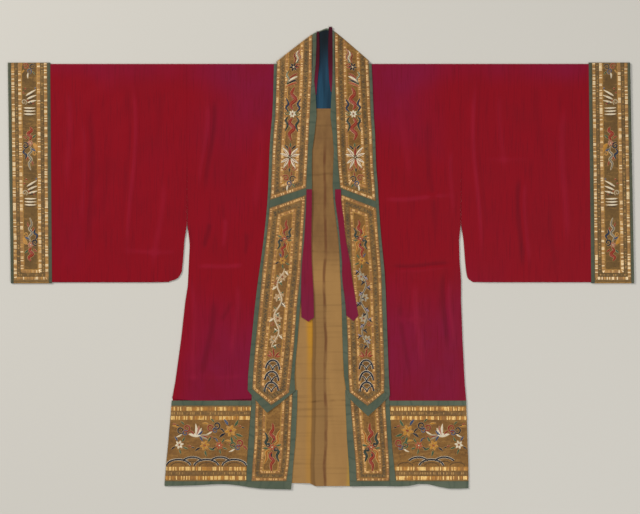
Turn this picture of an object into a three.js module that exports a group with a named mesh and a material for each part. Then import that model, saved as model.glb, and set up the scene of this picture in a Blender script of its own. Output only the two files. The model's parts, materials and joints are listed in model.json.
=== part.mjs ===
// A Taoist priest's vestment: a wide square-cut robe of crimson silk that opens down the front,
// with couched gold bands on cuffs, collar and hem, laid flat with its layers on each other.
// Millimetres. +X runs across from sleeve to sleeve, +Y towards the collar, +Z up off the surface.
// Left and right are as seen from above. "down" is the distance below the shoulder fold, and "out"
// the distance from the centre line. A relief is what a soft fold adds to the height of its layer.

import * as THREE from "three";

const { lerp, smoothstep } = THREE.MathUtils;

// Driving dimensions
const SEAM = 0.3;
const SILK = 1.2;
const BAND = 1.5;
const BINDING = 1.8;
const LINING = 1;
const RIBBON = 1;
const CUFF = 1.8;

const ARMHOLE = 480;
const SLEEVE_DEPTH = 655;
const CUFF_TOP = -4;
const CUFF_BOTTOM = 658;
const SKIRT_SEAM = 1009.5;
const HEM_TOP = 1024.5;
const HEM_GOLD_BOTTOM = 1251;
const BACK_GOLD_BOTTOM = 1240;
const BACK_BOTTOM = 1254;
const FOOT_TOP = 978;
const NECK_DIP = 40;
const FACING_BOTTOM = 133.5;
const JOINT_GUARD = 366;
const NECK_BINDING = 10;
const SILK_UNDER_BAND = 4;
const BACK_TUCK = 2;
const COLLAR_STATION = 52;
const SILK_STATION = 60;
const CUFF_STATION = 83;
const TUBE_BACK_STATION = 222;
const COLLAR_ROW_GAP = 8;

// Heights of the middle of each layer above the surface
const BACK_LEVEL = SILK / 2;
const LINING_LEVEL = 2;
const FRONT_LEVEL = 3.6;
const SIDE_SEAM_LEVEL = 2.1;
const CUFF_BACK_LEVEL = CUFF / 2;
const CUFF_FRONT_LEVEL = 3.9;
const BAND_LEVEL = 3.75;
const BAND_BACK_LEVEL = BAND / 2;
const BAND_OVER_SILK_LEVEL = 5.35;
const POINT_LEVEL = 5.95;
const TIP_LIFT = 1.6;
const TIE_RISE = 1.85;
const BAND_WAVE = 0.7;
const BAND_WAVE_LENGTH = 290;
const SEAM_EASE = 25;
const ARMHOLE_EASE = 50;
const RELIEF_EDGE = [5, 45];
const BAND_EASE = [5, 55];
const POINT_EASE = [900, 962];
const TIP_EASE = [985, 1056];
const FOLD_TURNS = [0.25, 0.5, 0.75];

const LOOKS = {
  red_silk: { color: 0x82122b, roughness: 0.55, metalness: 0 },
  red_ribbon: { color: 0x7d1a38, roughness: 0.5, metalness: 0 },
  gold_band: { color: 0x9c7a42, roughness: 0.5, metalness: 0.25 },
  green_binding: { color: 0x4f6650, roughness: 0.5, metalness: 0 },
  tan_lining: { color: 0x9a7b45, roughness: 0.85, metalness: 0 },
  blue_facing: { color: 0x1c3a55, roughness: 0.7, metalness: 0 },
};

// Edges of each side, as distances out from the centre line at distances down
const SIDES = {
  left: {
    sign: -1,
    bandWavePhase: 0.4,
    collar: [
      { down: -100, outer: 139.5, goldOuter: 131, goldInner: 24, inner: 12 },
      { down: 0, outer: 139.5, goldOuter: 131, goldInner: 24, inner: 14.5 },
      { down: 35, outer: 140.5, goldOuter: 132, goldInner: 25.5, inner: 19.5 },
      { down: 90, outer: 142, goldOuter: 133.5, goldInner: 29, inner: 14.5 },
      { down: 140, outer: 143.5, goldOuter: 135, goldInner: 31.5, inner: 12 },
      { down: 170, outer: 146, goldOuter: 137.5, goldInner: 33, inner: 12 },
      { down: 230, outer: 151.5, goldOuter: 143, goldInner: 36, inner: 21 },
      { down: 290, outer: 154, goldOuter: 145.5, goldInner: 39, inner: 27 },
      { down: 350, outer: 156, goldOuter: 147.5, goldInner: 42, inner: 24 },
      { down: 410, outer: 159, goldOuter: 151, goldInner: 45, inner: 31 },
      { down: 530, outer: 171, goldOuter: 163, goldInner: 54, inner: 42 },
      { down: 640, outer: 186, goldOuter: 176, goldInner: 60.5, inner: 53 },
      { down: 710, outer: 195, goldOuter: 182, goldInner: 69, inner: 60 },
      { down: 830, outer: 207, goldOuter: 194, goldInner: 78, inner: 69 },
      { down: 950, outer: 218, goldOuter: 203.5, goldInner: 90, inner: 78 },
      { down: 1000, outer: 218, goldOuter: 204, goldInner: 96, inner: 74 },
    ],
    side: [
      { down: 0, body: 400.5, sleeve: 400.5 },
      { down: 300, body: 400.5, sleeve: 400.5 },
      { down: 480, body: 399.5, sleeve: 400.5 },
      { down: 530, body: 393, sleeve: 408 },
      { down: 590, body: 390, sleeve: 412.5 },
      { down: 625, body: 391.5, sleeve: 416 },
      { down: 642, body: 393.5, sleeve: 427 },
      { down: 650, body: 395, sleeve: 442 },
      { down: 655, body: 396, sleeve: 466 },
      { down: 710, body: 405, sleeve: 466 },
      { down: 830, body: 418.5, sleeve: 466 },
      { down: 950, body: 435, sleeve: 466 },
      { down: 1010, body: 446, sleeve: 466 },
      { down: 1130, body: 456, sleeve: 466 },
      { down: 1210, body: 464, sleeve: 466 },
      { down: 1270, body: 468, sleeve: 466 },
    ],
    cuff: [
      { down: 0, sleeveEnd: 810, goldInner: 819, goldOuter: 929, outer: 937.5 },
      { down: 655, sleeveEnd: 805, goldInner: 814, goldOuter: 920, outer: 928.5 },
    ],
    foot: [
      { down: 978, hemInner: 206, goldOuter: 194, goldInner: 84, inner: 69 },
      { down: 1026, hemInner: 207, goldOuter: 195, goldInner: 84.5, inner: 70 },
      { down: 1070, hemInner: 211, goldOuter: 197, goldInner: 87, inner: 72 },
      { down: 1130, hemInner: 216, goldOuter: 198, goldInner: 90, inner: 75 },
      { down: 1190, hemInner: 220, goldOuter: 203, goldInner: 93, inner: 81 },
      { down: 1250, hemInner: 222, goldOuter: 207, goldInner: 102, inner: 85.5 },
      { down: 1277, hemInner: 222, goldOuter: 207, goldInner: 104, inner: 88 },
    ],
    hemBottom: [
      { out: 88, down: 1276 },
      { out: 196, down: 1272 },
      { out: 230, down: 1266 },
      { out: 286, down: 1260 },
      { out: 380, down: 1264 },
      { out: 468, down: 1266 },
    ],
    collarFold: [
      { out: 4.5, up: 100.5 },
      { out: 45, up: 72 },
      { out: 84, up: 42 },
      { out: 140, up: -4 },
    ],
    joint: { upperOuter: 408, upperInner: 372, lowerOuter: 432, lowerInner: 393 },
    point: [
      { goldOut: 202.5, goldDown: 975, edgeOut: 218, edgeDown: 979 },
      { goldOut: 175, goldDown: 999, edgeOut: 189, edgeDown: 1014 },
      { goldOut: 147, goldDown: 1023, edgeOut: 160, edgeDown: 1046 },
      { goldOut: 121.5, goldDown: 1005, edgeOut: 117, edgeDown: 1014 },
      { goldOut: 96, goldDown: 985, edgeOut: 76, edgeDown: 980 },
    ],
    tie: [
      { down: 376, outer: 42, inner: 25.5, drop: 0.4 },
      { down: 410, outer: 43, inner: 25.5, drop: 0.6 },
      { down: 530, outer: 49.5, inner: 27, drop: 0.9 },
      { down: 590, outer: 55.5, inner: 26, drop: 1 },
      { down: 680, outer: 58.5, inner: 21, drop: 1.1 },
      { down: 760, outer: 57, inner: 19.5, drop: 1.1 },
    ],
    tieTip: { out: 36, down: 773 },
    redFacing: [
      { down: -97, inner: 4.5 },
      { down: -12, inner: 1.5 },
      { down: 20, inner: 7.5 },
      { down: 50, inner: 9 },
      { down: 93, inner: 12.5 },
    ],
    folds: [
      { out: 320, down: 90, toOut: 344, toDown: 400, width: 26, height: 1.6 },
      { out: 332, down: 480, toOut: 347, toDown: 552, width: 24, height: 1.2 },
      { out: 250, down: 600, toOut: 370, toDown: 612, width: 20, height: 1.5 },
      { out: 290, down: 700, toOut: 345, toDown: 960, width: 36, height: 1.6 },
      { out: 568, down: 60, toOut: 569, toDown: 560, width: 24, height: 1.5 },
      { out: 700, down: 130, toOut: 684, toDown: 590, width: 30, height: 1.2 },
    ],
  },
  right: {
    sign: 1,
    bandWavePhase: 2.1,
    collar: [
      { down: -100, outer: 153, goldOuter: 144.5, goldInner: 42, inner: 36 },
      { down: 0, outer: 153, goldOuter: 144.5, goldInner: 42, inner: 36.6 },
      { down: 35, outer: 155, goldOuter: 146.5, goldInner: 43, inner: 36.6 },
      { down: 90, outer: 157, goldOuter: 148.5, goldInner: 44.5, inner: 33 },
      { down: 140, outer: 159, goldOuter: 150.5, goldInner: 46.5, inner: 30 },
      { down: 170, outer: 160.5, goldOuter: 152, goldInner: 47, inner: 30 },
      { down: 230, outer: 165, goldOuter: 156.5, goldInner: 49.5, inner: 39 },
      { down: 290, outer: 165.5, goldOuter: 157, goldInner: 51, inner: 39 },
      { down: 350, outer: 171, goldOuter: 162.5, goldInner: 57, inner: 36 },
      { down: 410, outer: 174, goldOuter: 165.5, goldInner: 60, inner: 39 },
      { down: 530, outer: 183, goldOuter: 174.5, goldInner: 66, inner: 54 },
      { down: 640, outer: 193.5, goldOuter: 183.5, goldInner: 71.5, inner: 59.5 },
      { down: 710, outer: 196.5, goldOuter: 184.5, goldInner: 75, inner: 63 },
      { down: 830, outer: 201, goldOuter: 189, goldInner: 81, inner: 66 },
      { down: 950, outer: 205.5, goldOuter: 192, goldInner: 84, inner: 72 },
      { down: 1000, outer: 208.5, goldOuter: 190.5, goldInner: 88.5, inner: 80 },
    ],
    side: [
      { down: 0, body: 421.5, sleeve: 421.5 },
      { down: 300, body: 421.5, sleeve: 421.5 },
      { down: 480, body: 420.5, sleeve: 421.5 },
      { down: 530, body: 415.5, sleeve: 429 },
      { down: 590, body: 417, sleeve: 433.5 },
      { down: 625, body: 420, sleeve: 437 },
      { down: 642, body: 421, sleeve: 441 },
      { down: 650, body: 421.5, sleeve: 448 },
      { down: 655, body: 421.5, sleeve: 461 },
      { down: 710, body: 421.5, sleeve: 461 },
      { down: 830, body: 426, sleeve: 461 },
      { down: 950, body: 432, sleeve: 461 },
      { down: 1010, body: 437, sleeve: 461 },
      { down: 1130, body: 441, sleeve: 461 },
      { down: 1210, body: 444, sleeve: 461 },
      { down: 1270, body: 444, sleeve: 461 },
    ],
    cuff: [
      { down: 0, sleeveEnd: 804, goldInner: 813, goldOuter: 921, outer: 928.5 },
      { down: 655, sleeveEnd: 811.5, goldInner: 822, goldOuter: 932, outer: 940.5 },
    ],
    foot: [
      { down: 978, hemInner: 206, goldOuter: 194, goldInner: 89, inner: 74 },
      { down: 1026, hemInner: 207, goldOuter: 195, goldInner: 90, inner: 75 },
      { down: 1070, hemInner: 210, goldOuter: 197.5, goldInner: 94, inner: 77 },
      { down: 1130, hemInner: 213, goldOuter: 201, goldInner: 99, inner: 79.5 },
      { down: 1190, hemInner: 219, goldOuter: 206, goldInner: 105, inner: 84 },
      { down: 1250, hemInner: 226, goldOuter: 207, goldInner: 108, inner: 87 },
      { down: 1277, hemInner: 227, goldOuter: 207, goldInner: 109, inner: 88 },
    ],
    hemBottom: [
      { out: 88, down: 1267 },
      { out: 180, down: 1266 },
      { out: 262, down: 1266 },
      { out: 300, down: 1259 },
      { out: 334, down: 1262 },
      { out: 370, down: 1272 },
      { out: 444, down: 1273 },
    ],
    collarFold: [
      { out: 25.5, up: 108 },
      { out: 70.5, up: 72 },
      { out: 105, up: 42 },
      { out: 156, up: -4 },
    ],
    joint: { upperOuter: 412, upperInner: 372, lowerOuter: 432, lowerInner: 390 },
    point: [
      { goldOut: 190.5, goldDown: 985, edgeOut: 208, edgeDown: 994 },
      { goldOut: 166, goldDown: 1005, edgeOut: 176, edgeDown: 1026 },
      { goldOut: 141, goldDown: 1025, edgeOut: 142.5, edgeDown: 1056 },
      { goldOut: 115, goldDown: 1006, edgeOut: 112, edgeDown: 1028 },
      { goldOut: 88.5, goldDown: 985, edgeOut: 79.4, edgeDown: 996 },
    ],
    tie: [
      { down: 376, outer: 61.5, inner: 43.5, drop: 0 },
      { down: 410, outer: 62, inner: 44, drop: 0 },
      { down: 470, outer: 70.5, inner: 52.5, drop: 0 },
      { down: 530, outer: 76.5, inner: 58.5, drop: 0 },
      { down: 590, outer: 88.5, inner: 64.5, drop: 0 },
      { down: 640, outer: 94.5, inner: 64.5, drop: 0 },
      { down: 710, outer: 106.5, inner: 73.5, drop: 0 },
      { down: 755, outer: 114, inner: 77.5, drop: 0 },
    ],
    tieTip: { out: 99, down: 771 },
    redFacing: [
      { down: -111, inner: 25 },
      { down: -60, inner: 22.5 },
      { down: 36, inner: 23.5 },
      { down: 60, inner: 27 },
      { down: 84, inner: 31 },
    ],
    folds: [
      { out: 190, down: 415, toOut: 400, toDown: 404, width: 20, height: 1.2 },
      { out: 215, down: 606, toOut: 400, toDown: 603, width: 20, height: 1.5 },
      { out: 370, down: 618, toOut: 374, toDown: 880, width: 28, height: 1.6 },
      { out: 250, down: 690, toOut: 285, toDown: 950, width: 34, height: 1.4 },
      { out: 470, down: 60, toOut: 470, toDown: 590, width: 22, height: 1.4 },
      { out: 599, down: 330, toOut: 601, toDown: 610, width: 28, height: 1.6 },
      { out: 735, down: 110, toOut: 728, toDown: 560, width: 30, height: 1.2 },
    ],
  },
};

// Soft ridges of the lining where it lies open between the fronts
const LINING_RIDGES = [
  { at: -42, toAt: -40, from: 770, to: 1275, width: 19, height: 2.6 },
  { at: -4, toAt: -2, from: 560, to: 1275, width: 15, height: 2.2 },
  { at: 44, toAt: 52, from: 780, to: 1275, width: 24, height: 1.8 },
  { at: 6, toAt: 8, from: 150, to: 520, width: 16, height: 0.9 },
];
const LINING_OUT = { left: 120, right: 125 };
const LINING_BOTTOM = { left: 1257, right: 1266 };

const steps = (count) => Array.from({ length: count + 1 }, (_, i) => i / count);

// A smooth curve through one column of a table, read at any place along another column.
function curve(table, along, column) {
  const places = table.map((row) => row[along]);
  const values = table.map((row) => row[column]);
  const spline = new THREE.CubicInterpolant(places, values, 1);
  return (place) => spline.evaluate(place)[0];
}

function straight(table, along, column) {
  const places = table.map((row) => row[along]);
  const values = table.map((row) => row[column]);
  const line = new THREE.LinearInterpolant(places, values, 1);
  return (place) => line.evaluate(place)[0];
}

// A closed wall of even thickness about a grid of points. A ring closes each row on itself.
function wall(name, look, rows, thickness, ring = false) {
  const wide = rows[0].length;
  const last = rows.length - 1;
  const spans = ring ? wide : wide - 1;
  const clamp = (value, most) => Math.min(Math.max(value, 0), most);
  const column = (c) => (ring ? (c + wide) % wide : clamp(c, wide - 1));
  const point = (r, c) => rows[clamp(r, last)][column(c)];
  const positions = [];
  rows.forEach((row, r) =>
    row.forEach((middle, c) => {
      const along = point(r, c + 1).clone().sub(point(r, c - 1));
      const down = point(r + 1, c).clone().sub(point(r - 1, c));
      const offset = along.cross(down).setLength(thickness / 2);
      positions.push(...middle.clone().add(offset).toArray());
      positions.push(...middle.clone().sub(offset).toArray());
    }),
  );

  const indices = [];
  const quad = (a, b, c, d) => indices.push(a, b, c, a, c, d);
  const outer = (r, c) => 2 * (r * wide + (ring ? c % wide : c));
  const inner = (r, c) => outer(r, c) + 1;
  for (let r = 0; r < last; r++) {
    for (let c = 0; c < spans; c++) {
      quad(outer(r, c), outer(r, c + 1), outer(r + 1, c + 1), outer(r + 1, c));
      quad(inner(r, c), inner(r + 1, c), inner(r + 1, c + 1), inner(r, c + 1));
    }
    if (!ring) {
      quad(outer(r, 0), outer(r + 1, 0), inner(r + 1, 0), inner(r, 0));
      quad(outer(r + 1, spans), outer(r, spans), inner(r, spans), inner(r + 1, spans));
    }
  }
  for (let c = 0; c < spans; c++) {
    quad(outer(0, c + 1), outer(0, c), inner(0, c), inner(0, c + 1));
    quad(outer(last, c), outer(last, c + 1), inner(last, c + 1), inner(last, c));
  }

  const geometry = new THREE.BufferGeometry();
  geometry.setAttribute("position", new THREE.Float32BufferAttribute(positions, 3));
  geometry.setIndex(indices);
  geometry.computeVertexNormals();
  const mesh = new THREE.Mesh(geometry, new THREE.MeshStandardMaterial(LOOKS[look]));
  mesh.name = name;
  return mesh;
}

// Each panel is a grid between two edges (outs at a down) and two ends (downs at a share across).
function panel({ sign, outer, inner, top, bottom, across, along, level }) {
  return along.map((v) =>
    across.map((u) => {
      const down = lerp(top(u) + SEAM / 2, bottom(u) - SEAM / 2, v);
      const out = lerp(outer(down) - SEAM / 2, inner(down) + SEAM / 2, u);
      return new THREE.Vector3(sign * out, -down, level(out, down, u));
    }),
  );
}

// Rows at the same distances down on neighbouring strips, so that a shared edge has the same corners.
function stripRows({ sign, outer, inner, top, bottom, across, level }) {
  const first = Math.ceil((Math.max(...across.map(top)) + COLLAR_ROW_GAP) / COLLAR_STATION);
  const last = Math.floor((Math.max(...across.map(bottom)) - COLLAR_ROW_GAP) / COLLAR_STATION);
  const rows = [(u) => top(u) + SEAM / 2];
  for (let index = first; index <= last; index++) {
    const station = index * COLLAR_STATION;
    rows.push((u) => Math.min(station, bottom(u) - (last + 1 - index) * COLLAR_ROW_GAP));
  }
  rows.push((u) => bottom(u) - SEAM / 2);
  return rows.map((downAt) =>
    across.map((u) => {
      const down = downAt(u);
      const out = lerp(outer(down) - SEAM / 2, inner(down) + SEAM / 2, u);
      return new THREE.Vector3(sign * out, -down, level(out, down, u));
    }),
  );
}

// Distances down from one end to the other, evenly spread, with one at each corner between the ends.
function stations(from, to, spacing, corners = []) {
  const between = corners.filter((corner) => (corner - from) * (corner - to) < 0);
  const marks = [from, ...between.sort((a, b) => (a - b) * (to - from)), to];
  const spans = marks.slice(1).map((mark, index) => ({ start: marks[index], end: mark }));
  return spans.flatMap(({ start, end }, index) => {
    const shares = steps(Math.ceil(Math.abs(end - start) / spacing));
    return shares.slice(index === 0 ? 0 : 1).map((v) => lerp(start, end, v));
  });
}

// The stations of a flattened tube: down the front, round the lower fold, up the back, round the top.
function flattenedLoop(top, bottom, frontSpacing, radius, corners) {
  const front = stations(top + radius, bottom - radius, frontSpacing, corners).map((down) => ({
    down,
    turn: 0,
  }));
  const lower = FOLD_TURNS.map((turn) => ({
    down: bottom - radius + radius * Math.sin(Math.PI * turn),
    turn,
  }));
  const back = stations(bottom - radius, top + radius, TUBE_BACK_STATION, corners).map((down) => ({
    down,
    turn: 1,
  }));
  const upper = FOLD_TURNS.map((turn) => ({
    down: top + radius - radius * Math.sin(Math.PI * turn),
    turn: 1 - turn,
  }));
  return [...front, ...lower, ...back, ...upper];
}

const half = (turn) => (1 - Math.cos(Math.PI * turn)) / 2;

// The edges and surface heights that all pieces of one side share.
function sideShape(name) {
  const tables = SIDES[name];
  const collar = {
    outer: curve(tables.collar, "down", "outer"),
    goldOuter: curve(tables.collar, "down", "goldOuter"),
    goldInner: curve(tables.collar, "down", "goldInner"),
    inner: curve(tables.collar, "down", "inner"),
  };
  const foot = {
    hemInner: curve(tables.foot, "down", "hemInner"),
    goldOuter: curve(tables.foot, "down", "goldOuter"),
    goldInner: curve(tables.foot, "down", "goldInner"),
    inner: curve(tables.foot, "down", "inner"),
  };
  const cuff = {
    sleeveEnd: straight(tables.cuff, "down", "sleeveEnd"),
    goldInner: straight(tables.cuff, "down", "goldInner"),
    goldOuter: straight(tables.cuff, "down", "goldOuter"),
    outer: straight(tables.cuff, "down", "outer"),
  };
  const bodySide = straight(tables.side, "down", "body");
  const sleeveSide = straight(tables.side, "down", "sleeve");
  const silkRelief = (out, down) => {
    const place = new THREE.Vector3(out, down, 0);
    const nearest = new THREE.Vector3();
    let relief = 0;
    for (const fold of tables.folds) {
      const start = new THREE.Vector3(fold.out, fold.down, 0);
      const end = new THREE.Vector3(fold.toOut, fold.toDown, 0);
      new THREE.Line3(start, end).closestPointToPoint(place, true, nearest);
      const share = nearest.distanceTo(place) / fold.width;
      relief = Math.max(relief, fold.height * Math.exp(-share * share));
    }
    return relief;
  };
  // The band rises over the silk's edge, sinks to the lining beside it and rises again at its point.
  const bandLevel = (out, down) => {
    const fromEdge = collar.goldOuter(down) - out;
    const rest = lerp(BAND_OVER_SILK_LEVEL, BAND_LEVEL, smoothstep(fromEdge, ...BAND_EASE));
    const turn = (2 * Math.PI * down) / BAND_WAVE_LENGTH + tables.bandWavePhase;
    const wave = BAND_WAVE * (0.5 - 0.5 * Math.cos(turn)) * smoothstep(down, 0, BAND_WAVE_LENGTH / 2);
    const raised = lerp(rest + wave, POINT_LEVEL, smoothstep(down, ...POINT_EASE));
    return raised + TIP_LIFT * smoothstep(down, ...TIP_EASE);
  };
  // The upper silk meets the lower at the seam below the armhole, and lies even along its other edges.
  const silkLevel = (out, down, fromSeam, fromOthers) => {
    const belowArmhole = smoothstep(down, ARMHOLE, ARMHOLE + ARMHOLE_EASE);
    const sewn = (1 - smoothstep(fromSeam, 0, SEAM_EASE)) * belowArmhole;
    const clear = smoothstep(Math.min(down, fromSeam, ...fromOthers), ...RELIEF_EDGE);
    return lerp(FRONT_LEVEL, SIDE_SEAM_LEVEL, sewn) + clear * silkRelief(out, down);
  };
  return { name, ...tables, collar, foot, cuff, bodySide, sleeveSide, silkLevel, bandLevel };
}

// Where the side edges of the body and the sleeve change direction.
const sideCorners = ({ side }) => side.map((row) => row.down);

// One length of silk from the front skirt seam over the shoulder to the back skirt seam.
function bodyHalf(shape) {
  const { sign, collar, foot, bodySide, silkLevel, name } = shape;
  const radius = (FRONT_LEVEL - BACK_LEVEL) / 2;
  const shoulder = radius + SILK / 2;
  const frontInner = (down) =>
    lerp(
      collar.goldOuter(down) - SILK_UNDER_BAND,
      foot.hemInner(down) + SEAM,
      smoothstep(down, ...POINT_EASE),
    );
  const frontLevel = (out, down) =>
    silkLevel(out, down, bodySide(down) - out, [out - collar.outer(down), SKIRT_SEAM - down]);
  const across = steps(8);
  const row = (down, outer, inner, level) =>
    across.map((u) => {
      const out = lerp(outer - SEAM / 2, inner + SEAM / 2, u);
      return new THREE.Vector3(sign * out, -down, level(out, down));
    });

  const rows = [];
  const corners = [...sideCorners(shape), FOOT_TOP];
  for (const down of stations(SKIRT_SEAM - SEAM / 2, shoulder, SILK_STATION, corners)) {
    rows.push(row(down, bodySide(down), frontInner(down), frontLevel));
  }
  for (const turn of FOLD_TURNS) {
    const down = shoulder - radius * Math.sin(Math.PI * turn);
    const level = () => lerp(FRONT_LEVEL, BACK_LEVEL, half(turn));
    rows.push(row(down, bodySide(0), frontInner(0), level));
  }
  for (const corner of neckCorners(shape)) {
    rows.push(row(shoulder + corner.dip, bodySide(0), corner.out, () => BACK_LEVEL));
  }
  for (const v of steps(6).slice(1)) {
    const down = lerp(shoulder + NECK_DIP, SKIRT_SEAM - SEAM / 2, v);
    const tucked = BACK_TUCK * smoothstep(down, ARMHOLE, ARMHOLE + ARMHOLE_EASE);
    rows.push(row(down, bodySide(down) - tucked, 0, () => BACK_LEVEL));
  }
  return wall(`body_${name}`, "red_silk", rows, SILK);
}

// The back neckline falls from the shoulder fold to the centre seam on a quarter of an ellipse.
function neckCorners({ collar, collarFold }) {
  const width = collar.goldOuter(0) - SILK_UNDER_BAND;
  const between = collarFold.map((row) => row.out).filter((out) => out < width);
  return [width, ...between.reverse(), 0].map((out) => {
    const share = 1 - out / width;
    return { out, dip: NECK_DIP * (1 - Math.sqrt(1 - share * share)) };
  });
}

function sleeve(shape) {
  const { sign, cuff, sleeveSide, silkLevel, name } = shape;
  const radius = (FRONT_LEVEL - BACK_LEVEL) / 2;
  const edge = SILK / 2;
  const loop = flattenedLoop(edge, SLEEVE_DEPTH - edge, SILK_STATION, radius, sideCorners(shape));
  const frontLevel = (out, down) =>
    silkLevel(out, down, out - sleeveSide(down), [cuff.sleeveEnd(down) - out, SLEEVE_DEPTH - down]);
  const rows = steps(9).map((v) =>
    loop.map(({ down, turn }) => {
      const inner = sleeveSide(down) + SEAM / 2;
      const out = lerp(inner, cuff.sleeveEnd(down) - SEAM / 2, v);
      const level = lerp(frontLevel(out, down), BACK_LEVEL, half(turn));
      return new THREE.Vector3(sign * out, -down, level);
    }),
  );
  return wall(`sleeve_${name}`, "red_silk", rows, SILK, true);
}

// A ring round the sleeve's end between two straight edges.
function cuffRing(shape, name, look, inner, outer, along, thickness) {
  const radius = (CUFF_FRONT_LEVEL - CUFF_BACK_LEVEL) / 2;
  const edge = CUFF / 2;
  const loop = flattenedLoop(CUFF_TOP + edge, CUFF_BOTTOM - edge, CUFF_STATION, radius);
  const rows = steps(along).map((v) =>
    loop.map(({ down, turn }) => {
      const out = lerp(inner(down) + SEAM / 2, outer(down) - SEAM / 2, v);
      const level = lerp(CUFF_FRONT_LEVEL, CUFF_BACK_LEVEL, half(turn));
      return new THREE.Vector3(shape.sign * out, -down, level);
    }),
  );
  return wall(name, look, rows, thickness, true);
}

// The rows that carry a collar piece round the slanting fold at its top, down to the neck band.
function foldedTop(shape, outs, level) {
  const foldUp = straight(shape.collarFold, "out", "up");
  return [1, ...FOLD_TURNS.toReversed()].map((turn) =>
    outs.map((out) => {
      const slope = foldUp(out + 1) - foldUp(out - 1);
      const away = new THREE.Vector2(-slope * shape.sign, 2).normalize();
      const front = level(out, -foldUp(out));
      const radius = (front - BAND_BACK_LEVEL) / 2;
      const reach = radius * Math.sin(Math.PI * turn);
      return new THREE.Vector3(
        shape.sign * out + away.x * reach,
        foldUp(out) + away.y * reach,
        lerp(front, BAND_BACK_LEVEL, half(turn)),
      );
    }),
  );
}

function collarUpperPiece(shape, name, look, edges, across, bottom, thickness) {
  const foldUp = straight(shape.collarFold, "out", "up");
  const outs = across.map((u) => lerp(edges.outer(0) - SEAM / 2, edges.inner(0) + SEAM / 2, u));
  const rows = stripRows({
    sign: shape.sign,
    outer: edges.outer,
    inner: edges.inner,
    top: (u) => -foldUp(lerp(edges.outer(0), edges.inner(0), u)) - SEAM / 2,
    bottom,
    across,
    level: shape.bandLevel,
  });
  const folded = foldedTop(shape, outs, shape.bandLevel);
  return wall(name, look, [...folded, ...rows], thickness);
}

function collar(shape) {
  const { name, sign, joint, point, bandLevel } = shape;
  const edge = shape.collar;
  const gold = { outer: edge.goldOuter, inner: edge.goldInner };
  const outerStrip = { outer: edge.outer, inner: edge.goldOuter };
  const innerStrip = { outer: edge.goldInner, inner: edge.inner };
  const goldAcross = [0, 0.2, 0.42, 0.62, 0.82, 1];
  const upperEnd = (u) => lerp(joint.upperOuter, joint.upperInner, u);
  const lowerStart = (u) => lerp(joint.lowerOuter, joint.lowerInner, u);
  const middle = (joint.upperOuter + joint.lowerOuter) / 2;
  const flat = { sign, level: bandLevel };

  const upper = collarUpperPiece(
    shape, `collar_upper_${name}`, "gold_band", gold, goldAcross, upperEnd, BAND,
  );
  const upperInner = collarUpperPiece(
    shape, `collar_upper_inner_binding_${name}`, "green_binding", innerStrip, steps(1),
    () => JOINT_GUARD, BAND,
  );
  const upperOuter = wall(
    `collar_upper_outer_binding_${name}`,
    "green_binding",
    stripRows({ ...flat, ...outerStrip, top: () => 0, bottom: () => middle, across: steps(1) }),
    BINDING,
  );
  const jointBinding = wall(
    `collar_joint_binding_${name}`,
    "green_binding",
    panel({ ...flat, ...gold, top: upperEnd, bottom: lowerStart, across: goldAcross, along: steps(1) }),
    BINDING,
  );

  const shares = point.map((row) => pointShare(point, row));
  const goldPoint = (u) => point[shares.indexOf(u)].goldDown;
  const lower = wall(
    `collar_lower_${name}`,
    "gold_band",
    stripRows({ ...flat, ...gold, top: lowerStart, bottom: goldPoint, across: shares }),
    BAND,
  );
  const mitre = (start, end) => (u) => lerp(start, end, u) - SEAM;
  const lowerOuter = wall(
    `collar_lower_outer_binding_${name}`,
    "green_binding",
    stripRows({
      ...flat, ...outerStrip, top: () => middle, across: steps(1),
      bottom: mitre(point[0].edgeDown, point[0].goldDown),
    }),
    BINDING,
  );
  const lowerInner = wall(
    `collar_lower_inner_binding_${name}`,
    "green_binding",
    stripRows({
      ...flat, ...innerStrip, top: () => JOINT_GUARD, across: steps(1),
      bottom: mitre(point.at(-1).goldDown, point.at(-1).edgeDown),
    }),
    BINDING,
  );
  const pointRows = [0, 0.5, 1].map((v) =>
    point.map((row, index) => {
      const goldOut = lerp(gold.outer(row.goldDown), gold.inner(row.goldDown), shares[index]);
      const out = lerp(goldOut, row.edgeOut, v);
      const down = lerp(row.goldDown + SEAM, row.edgeDown, v);
      return new THREE.Vector3(sign * out, -down, bandLevel(out, down));
    }),
  );
  const pointBinding = wall(
    `collar_lower_point_binding_${name}`, "green_binding", pointRows, BINDING,
  );
  return [upper, upperOuter, upperInner, jointBinding, lower, lowerOuter, lowerInner, pointBinding];
}

function pointShare(point, row) {
  const first = point[0].goldOut;
  return (first - row.goldOut) / (first - point.at(-1).goldOut);
}

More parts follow.
